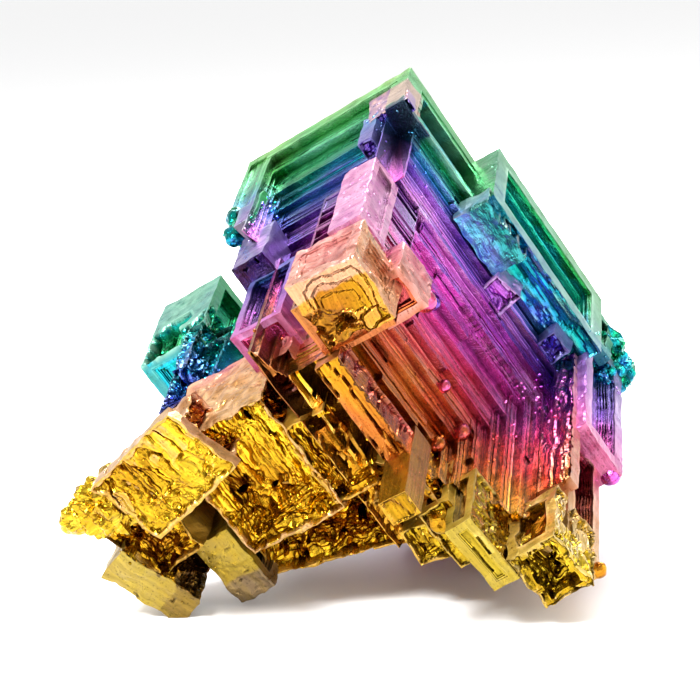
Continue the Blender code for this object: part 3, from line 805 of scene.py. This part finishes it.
ridgeBlocks = {
    "ridgeBlock": dict(low=(1.7, -0.2, 23.3), high=(5.7, 4.1, 37.3), film=(27, 28), pale="#D9A4BC", whole=True,
                       pits=[(c, 1, 0.7, 0.5, 1.0, 2), (a, -1, 0.9, 0.5, 0.5, 1)], finer=3, rough=0.09, dense=0.2,
                       relief={(b, -1): weathered(0.14, 1.3, 21), (a, -1): weathered(0.12, 1.5, 22)},
                       sides={(b, -1): dict(share=0.8, whole=0.9, dull=0.7), (a, -1): dict(share=0.72, whole=0.9, dull=0.65),
                              (c, 1): dict(film=(29, 31), share=0.3)}),
    "ridgeCore": dict(low=(3.2, 2.9, 17.4), high=(11.3, 9.4, 43.2), film=(20, 40), pale="#A88790", dull=0.15, share=0.1, bright=1.3,
                      treadHue=6.0, carved=[((a, -1), rimStreaks(a, 0.5, 17.6, 43.0, 0.5, 43, (3.0, 9.3))),
                                            ((b, -1), rimStreaks(b, 0.5, 17.6, 43.0, 0.5, 44, (3.4, 11.0)))]),
    "goldenHead": dict(low=(1.4, -0.3, 38.6), high=(9.3, 7.4, 46.3), turn=(0, 0, -3), film=(36, 44), riser=0.75, shallow=0.5,
                       tints=[((-1, -1.5, 45.2), (10.5, 2.0, 47), "#D8A28C", 0.6, 0.6, 0.2),
                              ((5.2, 3.8, 45.0), (11, 9, 47), "#8A4A22", 0.5, 0.1, 0.3)],
                       pale="#E0A588", finer=2, pits=[(a, -1, 1.3, 0.7, 0.35, 2), (b, -1, 1.2, 0.7, 0.3, 1)], relief={(c, 1): headContours, (b, -1): weathered(0.22, 1.4, 25),
                                                        (a, -1): weathered(0.16, 1.2, 26)}, dense=0.11, rough=0.2,
                       sides={(b, -1): dict(film=(34, 39), pale="#E3A698", share=0.8, whole=0.9, dull=0.7),
                              (a, -1): dict(film=(38, 42), pale="#E0A983", share=0.7, whole=0.9, dull=0.6),
                              (c, 1): dict(film=(44.5, 45), pale="#D0904A", share=0.4, dull=0.3)}),
    "headSide": dict(low=(0.4, 5.4, 34.7), high=(5.3, 10.6, 40.4), film=(31, 38), pale="#D29A92", dense=0.2,
                     pits=[(c, 1, 0.8, 0.6, 0.8, 1)], relief={(a, -1): weathered(0.25, 1.1, 27)}, rough=0.12,
                     sides={(a, -1): dict(share=0.75, whole=0.9), (b, -1): dict(share=0.6)}),
    "amberArm": dict(low=(9.3, 8.7, 41.4), high=(12.1, 23.4, 45.3), film=(36, 41), pale="#C98A62", dense=0.22,
                     relief={(c, 1): crust(0.5, 0.45, 90, 0.2, 0.15, 30), (a, -1): crust(0.45, 0.35, 90, 0.2, 0.15, 30)},
                     sides={(a, -1): dict(share=0.15, dull=0.3), (c, 1): dict(share=0.1, dull=0.3)}),
    "amberTurn": dict(low=(9.1, 21.4, 40.4), high=(12.3, 24.3, 52.3), film=(41, 47), pale="#C98F52", dense=0.25,
                      relief={(c, 1): crust(0.3, 0.45, 90, 0.25, 0.1)}, sides={(a, -1): dict(line=c), (b, -1): dict(line=c)},
                      share=0.1, dull=0.3),
}
leftBlocks = {
    "rimTail": dict(low=(19.2, 0.5, 11.2), high=(22.3, 4.6, 18.7), turn=(0, 3, 0), film=(5, 9), pale="#7FC083",
                    rough=0.16, carved=[((b, -1), rimStreaks(b, 0.3, 11.4, 18.6, 0.3, 45, (19.6, 22.0)))], share=0.15),
    "purpleBlock": dict(low=(17.3, 1.8, 18.3), high=(21.5, 7.2, 26.4), film=(19, 20), pale="#9C93A8", dense=0.25,
                        relief={(b, -1): weathered(0.2, 1.1, 31), (c, 1): weathered(0.35, 1.8, 32)}, rough=0.1,
                        pits=[(c, 1, 0.7, 0.5, 0.08, 1), (a, 1, 0.9, 0.5, 0.6, 1)],
                        # the front (c+) side is painted near black all over: painted shade on that side
                        sides={(b, -1): dict(share=0.75, dull=0.7), (c, 1): dict(film=(20, 19), share=0.85, whole=1,
                                                                                pale="#33283F", dull=0.25)}),
    "lavenderBlock": dict(low=(14.4, 4.3, 25.6), high=(20.7, 9.6, 38.3), film=(17, 29), pale="#A99BC4", rough=0.1,
                          pits=[(b, -1, 0.8, 0.6, 0.5, 2), (c, 1, 0.8, 0.6, 0.6, 1)], finer=5,
                          sides={(b, -1): dict(film=(15, 28), share=0.3), (c, 1): dict(film=(28, 30))}),
    "roseBlock": dict(low=(14.7, 7.2, 34.6), high=(18.7, 11.4, 41.3), turn=(0, 0, 5), film=(31, 38), dense=0.25,
                      pits=[(c, 1, 0.7, 0.5, 0.6, 1)],
                      pale="#C98F8A", relief={(c, 1): crust(0.7, 0.6, 9.0, 0.3, 0.2), (b, -1): weathered(0.3, 1, 33)}),
    "leftBackBlock": dict(low=(32.7, 8.8, 4.8), high=(41.3, 15.6, 19.3), film=(7, 12), pale="#9CCBB2",
                          pits=[(a, -1, 1.3, 0.6, 0.6, 2), (c, 1, 1.0, 0.7, 0.35, 2)], dense=0.27, bright=1.5, riser=0.6,
                          relief={(b, -1): partly(crust(1.9, 0.8, 90, 0.5, 0.3, 5), 12.2), (a, -1): partly(crust(1.2, 0.6, 90, 0.4, 0.2, 5), 10.5)},
                          finer=3, treadHue=3.0, rough=0.08,
                          sides={(b, -1): dict(film=(9, 11), share=0.62, dull=0.7), (a, -1): dict(film=(6, 9), share=0.1),
                                 (c, 1): dict(film=(10.5, 11), share=0.35, pale="#6FD0C0")}),
    "leftBackRidge": dict(low=(32.4, 8.6, 17.0), high=(34.6, 11.3, 26.4), film=(10, 15), pale="#8FB5B0", rough=0.24, dense=0.24, dull=0.1, share=0.1, bright=1.4,
                          relief={(b, -1): crust(0.6, 0.5, 90, 0.15, 0.1, 4), (a, -1): crust(0.6, 0.5, 90, 0.15, 0.1, 4),
                                  (c, 1): crust(0.5, 0.5, 90, 0.15, 0.1, 4)}),
    "leftBridge": dict(low=(20.4, 11.2, 15.3), high=(35.7, 18.3, 32.7), film=(10, 16), pale="#7C8FA5",
                       pits=[(b, -1, 1.6, 0.9, 0.6, 3)], finer=4,
                       dense=0.36, dull=0.15, share=0.1, bright=1.4,
                       relief={(b, -1): crust(0.8, 0.6, 90, 0.2, 0.1, 4)}),
    "leftStair": dict(low=(29.4, 10.3, 19.4), high=(36.4, 16.4, 31.4), bright=1.5, share=0.12, dull=0.2, film=(11.5, 16), pale="#9FB5CF", dense=0.2,
                      relief={(b, -1): crust(0.8, 0.7, 90, 0.3, 0.1, 0.12), (c, 1): crust(0.5, 0.5, 90, 0.3, 0.1)},
                      pits=[(b, -1, 0.9, 0.6, 0.5, 2), (a, 1, 1.1, 0.6, 0.5, 2)], sides={(b, -1): dict(line=c, film=(11, 15.5), share=0.12)}),
}
goldBlocks = {
    "goldBlock": dict(riser=0.75, bright=1.4, low=(18.8, 8.8, 32.6), high=(30.6, 24.0, 45.1), film=(42, 48), pale="#D3A277", rough=0.3,
                      whole=True, pits=[(c, 1, 1.2, 0.8, 0.6, 3), (a, -1, 1.4, 0.7, 0.5, 1)],
                      relief={(c, 1): crust(1.1, 0.55, 18.5, 0.4, 0.25, 14.0, 1.0), (b, -1): weathered(0.16, 1.6, 41),
                              (a, -1): crust(0.8, 0.5, 90, 0.5, 0.3, 4.0)}, dense=0.15,
                      sides={(b, -1): dict(film={32.6: 31, 35: 38, 39: 42, 45: 44}, pale="#DDB184", share=0.72, whole=0.9, dull=0.7),
                             (c, 1): dict(film=(47.5, 49), pale="#C79A80", share=0.42), (a, -1): dict(film=(38, 44), share=0.3)}),
    "goldWing": dict(riser=0.75, bright=1.4, low=(11.6, 13.2, 33.4), high=(19.6, 23.4, 44.7), film=(40, 47), pale="#C08F4E", rough=0.26,
                     pits=[(c, 1, 1.0, 0.6, 0.8, 2)],
                     relief={(c, 1): crust(0.9, 0.5, 19.0, 0.35, 0.3, 12.0, 0.7)}, dense=0.15,
                     sides={(c, 1): dict(film=(46, 48.5), share=0.3)}),
    "frontGold": dict(riser=0.75, bright=1.25, low=(24.0, 5.0, 48.8), high=(36.4, 13.8, 50.2), turn=(0, 0, 15), film=(46, 49), whole=True,
                      pale="#C79A86", relief={(c, 1): crust(0.7, 0.5, 9.3, 0.5, 0.08, 7.0)}, dense=0.13, shallow=0.1,
                      rough=0.32, sides={(c, 1): dict(film=(49, 51), along=b, share=0.22),
                                         (b, -1): dict(pale="#CDB2A4", share=0.7), (a, -1): dict(share=0.7)}),
    "frontNeck": dict(riser=0.75, bright=1.15, low=(25.2, 6.9, 41.3), high=(36.6, 14.0, 49.3), turn=(0, 0, 12), film=(41, 47), dense=0.2,
                      pale="#CBA98F", rough=0.3, relief={(b, -1): weathered(0.5, 1.3, 43), (a, -1): crust(0.8, 0.5, 90)},
                      sides={(b, -1): dict(share=0.6, whole=0.7)}),
}
footBlocks = {
    "leftFoot": dict(low=(38.8, 15.9, 41.0), high=(43.0, 25.6, 48.0), turn=(0, 0, 22), film=(50, 52), whole=True,
                     pale="#C2A066", tints=[((38, 22.6, 40), (44, 27, 49), "#7A5A38", 0.65, 0.3, 0.3)], pits=[(b, 1, 1.0, 0.7, 0.7, 1), (a, -1, 1.1, 0.6, 0.5, 2)], bright=0.68, rough=0.26, dense=0.2,
                     relief={(c, 1): weathered(0.16, 1.5, 44), (a, -1): crust(0.9, 0.5, 19.0, 0.3, 0.3),
                             (b, 1): crust(0.6, 0.5, 90, 0.3, 0.2)},
                     sides={(c, 1): dict(film=(51, 53), share=0.3, dull=0.6), (a, -1): dict(film=(40, 48))}),
    "leftFootNeck": dict(riser=0.75, bright=1.35, low=(34.2, 12.7, 40.2), high=(41.3, 20.4, 46.6), turn=(0, 0, 12), film=(43, 47),
                         pale="#A8834C", rough=0.34, pits=[(c, 1, 0.9, 0.6, 0.6, 2)], relief={(c, 1): crust(1.0, 0.6, 15.0, 0.3, 0.3)}, dense=0.2),
    "cavityWall": dict(riser=0.75, bright=1.35, low=(29.7, 14.8, 31.6), high=(38.3, 21.6, 40.6), film=(40, 46), pale="#A87E4C", rough=0.3,
                       pits=[(c, 1, 1.1, 0.7, 0.8, 3)],
                       relief={(c, 1): crust(1.0, 0.6, 16.0, 0.3, 0.3)}, dense=0.25),
    "middleFoot": dict(low=(31.2, 20.2, 37.2), high=(35.8, 28.8, 44.8), turn=(0, 0, 2), film=(49, 52),
                       pale="#B9A258", pits=[(a, -1, 1.2, 0.7, 0.7, 2)], bright=0.72, rough=0.22, dense=0.2, tints=[((30, 25.6, 36), (36.5, 30, 46), "#8C7360", 0.8, 0.6, 0.2)],
                       relief={(c, 1): weathered(0.15, 1.6, 46), (b, 1): weathered(0.3, 1.2, 47)}, share=0.15),
    "lowerGold": dict(riser=0.75, bright=1.45, low=(13.2, 20.4, 26.6), high=(31.3, 30.9, 42.2), turn=(0, 0, -14), film=(40, 47), whole=True,
                      pale="#C99A52", pits=[(c, 1, 1.4, 0.9, 0.8, 3), (b, 1, 1.8, 1.0, 1.0, 3)], rough=0.38, dense=0.23,
                      relief={(c, 1): crust(1.4, 0.6, 27.5, 0.4, 0.4, 7.0, 0.8, 40)},
                      sides={(c, 1): dict(film=(45, 49), along=b, share=0.4)}),
    "middleKnob": dict(low=(12.7, 29.6, 36.4), high=(16.1, 34.3, 44.6), turn=(0, 0, -7), film=(44, 50), dense=0.2,
                       pits=[(c, 1, 0.6, 0.5, 0.5, 1)],
                       pale="#B08A52", relief={(c, 1): crust(0.5, 0.5, 31.0, 0.3, 0.2)}, rough=0.2),
    "lowerMiddle": dict(riser=0.75, bright=1.15, low=(9.6, 24.1, 34.8), high=(15.4, 29.7, 46.3), film=(38, 46), pale="#B98C4E", dense=0.21,
                        pits=[(c, 1, 1.1, 0.7, 0.9, 2)],
                        relief={(c, 1): crust(0.9, 0.55, 27.0, 0.35, 0.3, 6.0), (a, -1): crust(0.7, 0.5, 90, 0.3, 0.2, 0.15),
                                (b, -1): crust(0.5, 0.5, 90, 0.3, 0.2, 0.15)}, rough=0.12,
                        sides={(a, -1): dict(line=c), (b, -1): dict(line=c)}),
}
backBlocks = {
    "backUpper": dict(low=(4.8, 19.6, -4.6), high=(15.4, 32.2, 3.4), turn=(0, 0, 3), film=(4, 8),
                      pale="#8FAE92", pits=[(c, -1, 1.4, 0.9, 0.9, 3)]),
    "backLeft": dict(low=(20.3, 15.8, 1.7), high=(28.2, 27.4, 14.6), film=(6, 15), pale="#86A79C",
                     pits=[(c, -1, 1.2, 0.8, 0.8, 2)]),
    "backLow": dict(low=(9.7, 40.3, 3.4), high=(19.4, 47.6, 14.7), film=(12, 22), pale="#8A93AE",
                    pits=[(b, 1, 1.3, 0.8, 0.8, 2), (c, -1, 1.2, 0.7, 0.7, 2)]),
    "backRight": dict(low=(2.7, 35.2, -2.9), high=(10.2, 42.3, 4.6), film=(5, 11), pale="#8FB09C",
                      pits=[(c, -1, 1.1, 0.7, 0.7, 2)]),
    "backInner": dict(low=(13.8, 7.3, -3.4), high=(20.6, 15.2, 2.7), turn=(0, 0, -4), film=(2, 6),
                      pale="#97B38C", pits=[(c, -1, 1.1, 0.7, 0.7, 2)]),
    "leftBackStair": dict(low=(22.3, 21.6, 10.3), high=(33.4, 31.2, 24.4), film=(14, 30), pale="#9A8AA5",
                          pits=[(a, 1, 1.4, 0.9, 0.8, 3), (b, 1, 1.4, 0.9, 0.8, 2)]),
    "underBlock": dict(low=(12.3, 33.2, 20.8), high=(19.7, 38.6, 31.2), film=(24, 38), pale="#A9838A",
                       pits=[(b, 1, 1.2, 0.8, 0.8, 2)]),
    "backFoot": dict(low=(15.3, 38.6, 12.6), high=(24.6, 46.4, 23.4), film=(20, 32), pale="#9F86A2",
                     pits=[(a, 1, 1.3, 0.8, 0.7, 2)]),
    "rightBackFoot": dict(low=(4.3, 39.4, 25.6), high=(10.3, 48.6, 36.6), film=(34, 46), pale="#B9907A",
                          pits=[(b, 1, 1.2, 0.7, 0.7, 2)]),
}

# Solidified drops and melted knobs: middle, radii, film, and how lumpy.
drops = [
    ((22.6, 0.9, 14.1), (1.2, 1.3, 1.6), 9, 0.4),
    ((22.1, 1.3, 18.3), (1.3, 1.2, 1.4), 11, 0.4),
    ((-0.9, 42.2, 2.2), (2.0, 3.0, 2.4), 10, 0.7),
    ((-1.5, 44.3, 4.6), (1.9, 2.2, 2.4), 11, 0.7),
    ((0.5, 43.4, 7.7), (2.4, 2.7, 2.6), 12, 0.7),
    ((38.7, 10.2, 48.0), (3.2, 3.2, 2.4), 50, 0.7),
    ((41.9, 9.5, 48.6), (1.9, 1.8, 1.6), 51, 0.6),
    ((36.1, 7.2, 47.9), (1.2, 1.1, 1.6), 48, 0.4),
    ((1.7, 11.2, 37.0), (1.2, 1.3, 1.1), 30, 0.05),
    ((8.0, 27.5, 34.2), (1.0, 0.9, 1.3), 35, 0.05),
    ((9.0, 25.2, 38.8), (0.8, 0.8, 1.0), 38, 0.05),
    ((7.2, 22.6, 32.5), (0.8, 0.7, 0.9), 31, 0.05),
    ((5.4, 16.8, 25.3), (0.8, 0.7, 0.8), 20, 0.05),
    ((-0.4, 44.0, 27.0), (1.1, 1.1, 1.2), 25, 0.2),
    ((10.4, 29.1, 46.8), (1.4, 1.4, 1.2), 46, 0.4),
    ((0.3, 42.6, 45.7), (1.0, 0.9, 0.8), 44, 0.3),
]


def makeDrop(number, middle, radii, film, lumpy):
    bm = bmesh.new()
    bmesh.ops.create_icosphere(bm, subdivisions=5 if max(radii) > 2.6 else 4, radius=1.0)
    ball = np.array([v.co for v in bm.verts])
    faces = [[v.index for v in f.verts] for f in bm.faces]
    bm.free()
    middle = np.array(middle)
    places = ball * np.array(radii) + middle
    swell = 1 + lumpy * (valueNoise(places, 0.9, 40 + number) - 0.55)
    swell += lumpy * 0.35 * (valueNoise(places, 0.35, 50 + number) - 0.5)
    places = middle + (places - middle) * swell[:, None]
    place = film + (valueNoise(places, 1.1, 60 + number) - 0.5) * 7
    colour = filmColour(place) * (0.6 + 0.5 * valueNoise(places, 0.5, 70 + number))[:, None]
    return places, faces, {"film": colour, "dull": np.full(len(places), 0.05), "grown": places.copy(), "shade": np.ones(len(faces))}


def seeded(blocks, start):
    # the parts of a group, each with a seed of its own
    return [makeBlock(dict(block, seed=start + number)) for number, block in enumerate(blocks.values())]


# materials


def addNode(tree, kind, settings=None, links=None):
    # adds a node, sets its properties and sockets, and links sockets by name
    node = tree.nodes.new(kind)
    for key, value in (settings or {}).items():
        if isinstance(key, int) or key in node.inputs:
            node.inputs[key].default_value = value
        else:
            setattr(node, key, value)
    for key, source in (links or {}).items():
        tree.links.new(source, node.inputs[key])
    return node


def newMaterial(name):
    material = bpy.data.materials.new(name)
    material.use_nodes = True
    return material, material.node_tree, material.node_tree.nodes["Principled BSDF"]


filmLook = {
    "glossRoughness": 0.16, "dullRoughness": 0.5,
    "lineSpacing": 0.16,  # mm between fine growth lines; real ones are finer, but would not show
    "gritSize": 0.22,  # mm
    "bump": 0.35,
}


def oxideFilm():
    # bismuth under its own oxide film, grown in the melt and aired: glossy treads with fine growth
    # lines, duller outer rims with specks and small pits
    material, tree, shader = newMaterial("oxideFilmOnBismuth")
    film = addNode(tree, "ShaderNodeAttribute", {"attribute_name": "film"})
    dull = addNode(tree, "ShaderNodeAttribute", {"attribute_name": "dull"})
    grown = addNode(tree, "ShaderNodeAttribute", {"attribute_name": "grown"})
    stretched = addNode(tree, "ShaderNodeVectorMath",
                        {"operation": "MULTIPLY", 1: (0.1, 1 / filmLook["lineSpacing"], 0.6)},
                        {0: grown.outputs["Vector"]})
    lines = addNode(tree, "ShaderNodeTexNoise", {"Scale": 0.5, "Detail": 3.0, "Roughness": 0.6},
                    {"Vector": stretched.outputs["Vector"]})
    contrast = addNode(tree, "ShaderNodeMapRange", {"To Min": 0.7, "To Max": 0.12}, {"Value": dull.outputs["Fac"]})
    centred = addNode(tree, "ShaderNodeMath", {"operation": "SUBTRACT", 1: 0.5}, {0: lines.outputs["Fac"]})
    swing = addNode(tree, "ShaderNodeMath", {"operation": "MULTIPLY"},
                    {0: centred.outputs["Value"], 1: contrast.outputs["Result"]})
    lineShade = addNode(tree, "ShaderNodeMath", {"operation": "MULTIPLY_ADD", 1: 2.4, 2: 1.0},
                        {0: swing.outputs["Value"]})
    grit = addNode(tree, "ShaderNodeTexNoise", {"Scale": 1 / filmLook["gritSize"], "Detail": 4.0},
                   {"Vector": grown.outputs["Vector"]})
    specks = addNode(tree, "ShaderNodeMapRange",
                     {"From Min": 0.32, "From Max": 0.42, "To Min": 0.45, "To Max": 1.0},
                     {"Value": grit.outputs["Fac"]})
    shade = addNode(tree, "ShaderNodeMath", {"operation": "MULTIPLY"},
                    {0: lineShade.outputs["Value"], 1: specks.outputs["Result"]})
    # painted shade: steep riser faces are darkened by the shade attribute
    steep = addNode(tree, "ShaderNodeAttribute", {"attribute_name": "shade"})
    shade = addNode(tree, "ShaderNodeMath", {"operation": "MULTIPLY"},
                    {0: shade.outputs["Value"], 1: steep.outputs["Fac"]})
    tint = addNode(tree, "ShaderNodeVectorMath", {"operation": "SCALE"},
                   {"Vector": film.outputs["Color"], "Scale": shade.outputs["Value"]})
    tree.links.new(tint.outputs["Vector"], shader.inputs["Base Color"])
    rough = addNode(tree, "ShaderNodeMapRange",
                    {"To Min": filmLook["glossRoughness"], "To Max": filmLook["dullRoughness"]},
                    {"Value": dull.outputs["Fac"]})
    tree.links.new(rough.outputs["Result"], shader.inputs["Roughness"])
    height = addNode(tree, "ShaderNodeMath", {"operation": "ADD"},
                     {0: lines.outputs["Fac"], 1: grit.outputs["Fac"]})
    bump = addNode(tree, "ShaderNodeBump", {"Strength": filmLook["bump"], "Distance": 0.00012},
                   {"Height": height.outputs["Value"]})
    tree.links.new(bump.outputs["Normal"], shader.inputs["Normal"])
    metal = addNode(tree, "ShaderNodeMapRange", {"To Min": 1.0, "To Max": 0.35}, {"Value": dull.outputs["Fac"]})
    tree.links.new(metal.outputs["Result"], shader.inputs["Metallic"])
    return material


beadLook = {
    "radii": (0.07, 0.24),  # mm
    "count": 0.83,  # beads to a square millimetre in the thickest places
    "seed": 7, "roughness": 0.13, "speckSize": 0.3,  # mm
}
# Where drops of melt clung when the cluster was lifted out: low corner, high corner, share.
beadPlaces = [
    ((1, 31, 9), (10, 41, 28), 0.5), ((5, 30, 18), (11, 36, 40), 0.35), ((18, 0, 8), (24, 6, 22), 0.9),
    ((-4, 38, 0), (4, 48, 11), 0.7), ((-4, 34, 4), (4, 40, 12), 0.4), ((28, 9, 17), (38, 18, 33), 0.8),
    ((0, 0, 8), (6, 9, 16), 0.6), ((11, 17, 32), (31, 25, 46), 0.45), ((30, 5, 46), (44, 16, 51), 0.7),
    ((12, 20, 26), (32, 33, 43), 0.4), ((34, 12, 40), (44, 26, 48), 0.2), ((-1, 34, 41), (6, 42, 51), 0.25),
    ((9, 24, 34), (16, 34, 47), 0.4), ((20, 5, 15), (32, 14, 32), 0.3), ((14, 4, 25), (21, 11, 41), 0.15),
]


def meltedBeads():
    # bare drops of melt that froze in air: rounder and glossier than the grown faces, with small dull specks
    material, tree, shader = newMaterial("meltedBismuthBeads")
    film = addNode(tree, "ShaderNodeAttribute", {"attribute_name": "film"})
    own = addNode(tree, "ShaderNodeTexCoord")
    specks = addNode(tree, "ShaderNodeTexNoise", {"Scale": 1000 / beadLook["speckSize"], "Detail": 2.0},
                     {"Vector": own.outputs["Object"]})
    shade = addNode(tree, "ShaderNodeMapRange", {"From Min": 0.3, "From Max": 0.6, "To Min": 0.7, "To Max": 1.6},
                    {"Value": specks.outputs["Fac"]})
    tint = addNode(tree, "ShaderNodeVectorMath", {"operation": "SCALE"},
                   {"Vector": film.outputs["Color"], "Scale": shade.outputs["Result"]})
    tree.links.new(tint.outputs["Vector"], shader.inputs["Base Color"])
    shader.inputs["Roughness"].default_value = beadLook["roughness"]
    shader.inputs["Metallic"].default_value = 1.0
    return material


def beadTree():
    # scatters small balls over a surface, thickest where its bead attribute is highest
    tree = bpy.data.node_groups.new("scatterBeads", "GeometryNodeTree")
    for name, kind in (("Geometry", "NodeSocketGeometry"), ("Density", "NodeSocketFloat"),
                       ("Smallest", "NodeSocketFloat"), ("Largest", "NodeSocketFloat"),
                       ("Seed", "NodeSocketInt"), ("Material", "NodeSocketMaterial")):
        tree.interface.new_socket(name, in_out="INPUT", socket_type=kind)
    tree.interface.new_socket("Geometry", in_out="OUTPUT", socket_type="NodeSocketGeometry")
    given = addNode(tree, "NodeGroupInput")
    share = addNode(tree, "GeometryNodeInputNamedAttribute", {"data_type": "FLOAT", "Name": "bead"})
    density = addNode(tree, "ShaderNodeMath", {"operation": "MULTIPLY"},
                      {0: share.outputs["Attribute"], 1: given.outputs["Density"]})
    points = addNode(tree, "GeometryNodeDistributePointsOnFaces", {"distribute_method": "RANDOM"},
                     {"Mesh": given.outputs["Geometry"], "Density": density.outputs["Value"],
                      "Seed": given.outputs["Seed"]})
    ball = addNode(tree, "GeometryNodeMeshUVSphere", {"Radius": 1.0, "Segments": 8, "Rings": 4})
    size = addNode(tree, "FunctionNodeRandomValue", {"data_type": "FLOAT"},
                   {"Seed": given.outputs["Seed"]})
    for socket, name in ((2, "Smallest"), (3, "Largest")):
        tree.links.new(given.outputs[name], size.inputs[socket])
    beads = addNode(tree, "GeometryNodeInstanceOnPoints", None,
                    {"Points": points.outputs["Points"], "Instance": ball.outputs["Mesh"],
                     "Rotation": points.outputs["Rotation"], "Scale": size.outputs[1]})
    real = addNode(tree, "GeometryNodeRealizeInstances", None, {"Geometry": beads.outputs["Instances"]})
    dressed = addNode(tree, "GeometryNodeSetMaterial", None,
                      {"Geometry": real.outputs["Geometry"], "Material": given.outputs["Material"]})
    addNode(tree, "NodeGroupOutput", None, {"Geometry": dressed.outputs["Geometry"]})
    return tree


def scatterBeads(name, pieces, material):
    # plain meshes of the beads on each piece, joined into one
    tree = beadTree()
    keys = {item.name: item.identifier for item in tree.interface.items_tree if item.in_out == "INPUT"}
    joined = bmesh.new()
    for number, piece in enumerate(pieces):
        modifier = piece.modifiers.new("beads", "NODES")
        modifier.node_group = tree
        for key, value in (("Density", beadLook["count"] / mm ** 2), ("Smallest", beadLook["radii"][0] * mm),
                           ("Largest", beadLook["radii"][1] * mm), ("Seed", beadLook["seed"] + number),
                           ("Material", material)):
            modifier[keys[key]] = value
        graph = bpy.context.evaluated_depsgraph_get()
        found = bpy.data.meshes.new_from_object(piece.evaluated_get(graph))
        piece.modifiers.remove(modifier)
        joined.from_mesh(found)
        bpy.data.meshes.remove(found)
    mesh = bpy.data.meshes.new(name)
    joined.to_mesh(mesh)
    joined.free()
    places = np.empty(len(mesh.vertices) * 3)
    mesh.vertices.foreach_get("co", places)
    places = np.clip(places.reshape(-1, 3), cadBox[0], cadBox[1])
    mesh.vertices.foreach_set("co", places.ravel())
    mesh.shade_smooth()
    if not mesh.materials:
        mesh.materials.append(material)
    beads = bpy.data.objects.new(name, mesh)
    bpy.context.scene.collection.objects.link(beads)
    print(f"{name}: {len(mesh.vertices) // 26} beads, {sum(len(p.vertices) - 2 for p in mesh.polygons)} triangles")
    return beads


filmMaterial = oxideFilm()

groups = {
    "main_crystal": seeded(mainBlocks, 50),
    "front_crystal": seeded(frontBlocks, 60),
    "apex_crystals": seeded(apexBlocks, 100),
    "right_rim_crystals": seeded(rightBlocks, 200),
    "ridge_crystals": seeded(ridgeBlocks, 300),
    "left_crystals": seeded(leftBlocks, 400),
    "gold_crystals": seeded(goldBlocks, 500),
    "gold_feet": seeded(footBlocks, 540),
    "back_crystals": seeded(backBlocks, 600),
    "solidified_drops": [makeDrop(number, *drop) for number, drop in enumerate(drops)],
}
pieces = [makePiece(name, parts, filmMaterial) for name, parts in groups.items()]
pieces.append(scatterBeads("melt_beads", pieces, meltedBeads()))
for piece in pieces:
    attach(piece, "root")
    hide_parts("bismuth_crystal")

# stage, light and camera

stageLook = {"floor": "#F4F4F4", "size": 60.0}


def makeStage():
    mesh = bpy.data.meshes.new("floor")
    half = stageLook["size"] / 2
    mesh.from_pydata([(-half, -half, 0), (half, -half, 0), (half, half, 0), (-half, half, 0)], [], [(0, 1, 2, 3)])
    floor = bpy.data.objects.new("floor", mesh)
    bpy.context.scene.collection.objects.link(floor)
    material, tree, shader = newMaterial("whitePaintedBoard")
    shader.inputs["Base Color"].default_value = (*linear(stageLook["floor"]), 1)
    shader.inputs["Roughness"].default_value = 0.8
    mesh.materials.append(material)


makeStage()

lights = {
    "key": {"place": (-0.22, -0.22, 0.42), "size": 0.12, "power": 5.0},
    "fill": {"place": (0.42, -0.3, 0.2), "size": 0.3, "power": 1.3},
    "back": {"place": (0.1, 0.4, 0.35), "size": 0.3, "power": 4.0},
}
for name, light in lights.items():
    data = bpy.data.lights.new(name, "AREA")
    data.size = light["size"]
    data.energy = light["power"]
    lamp = bpy.data.objects.new(name, data)
    lamp.location = light["place"]
    lamp.rotation_euler = (Vector((0, 0, 0.025)) - Vector(light["place"])).to_track_quat("-Z", "Y").to_euler()
    bpy.context.scene.collection.objects.link(lamp)

world = bpy.data.worlds.new("studio")
bpy.context.scene.world = world
world.use_nodes = True
world.node_tree.nodes["Background"].inputs["Color"].default_value = (1, 1, 1, 1)
world.node_tree.nodes["Background"].inputs["Strength"].default_value = 1.0
bpy.context.scene.view_settings.view_transform = "Standard"

camera = {"place": (-0.001769, -0.202506, 0.067662), "turn": (77.978, 2.893, -0.611), "lens": 96.69}
cameraData = bpy.data.cameras.new("camera")
cameraData.lens = camera["lens"]
cameraData.sensor_width = 36.0
cameraData.clip_start = 0.001
cameraObject = bpy.data.objects.new("camera", cameraData)
cameraObject.location = camera["place"]
cameraObject.rotation_euler = [math.radians(angle) for angle in camera["turn"]]
bpy.context.scene.collection.objects.link(cameraObject)
bpy.context.scene.camera = cameraObject
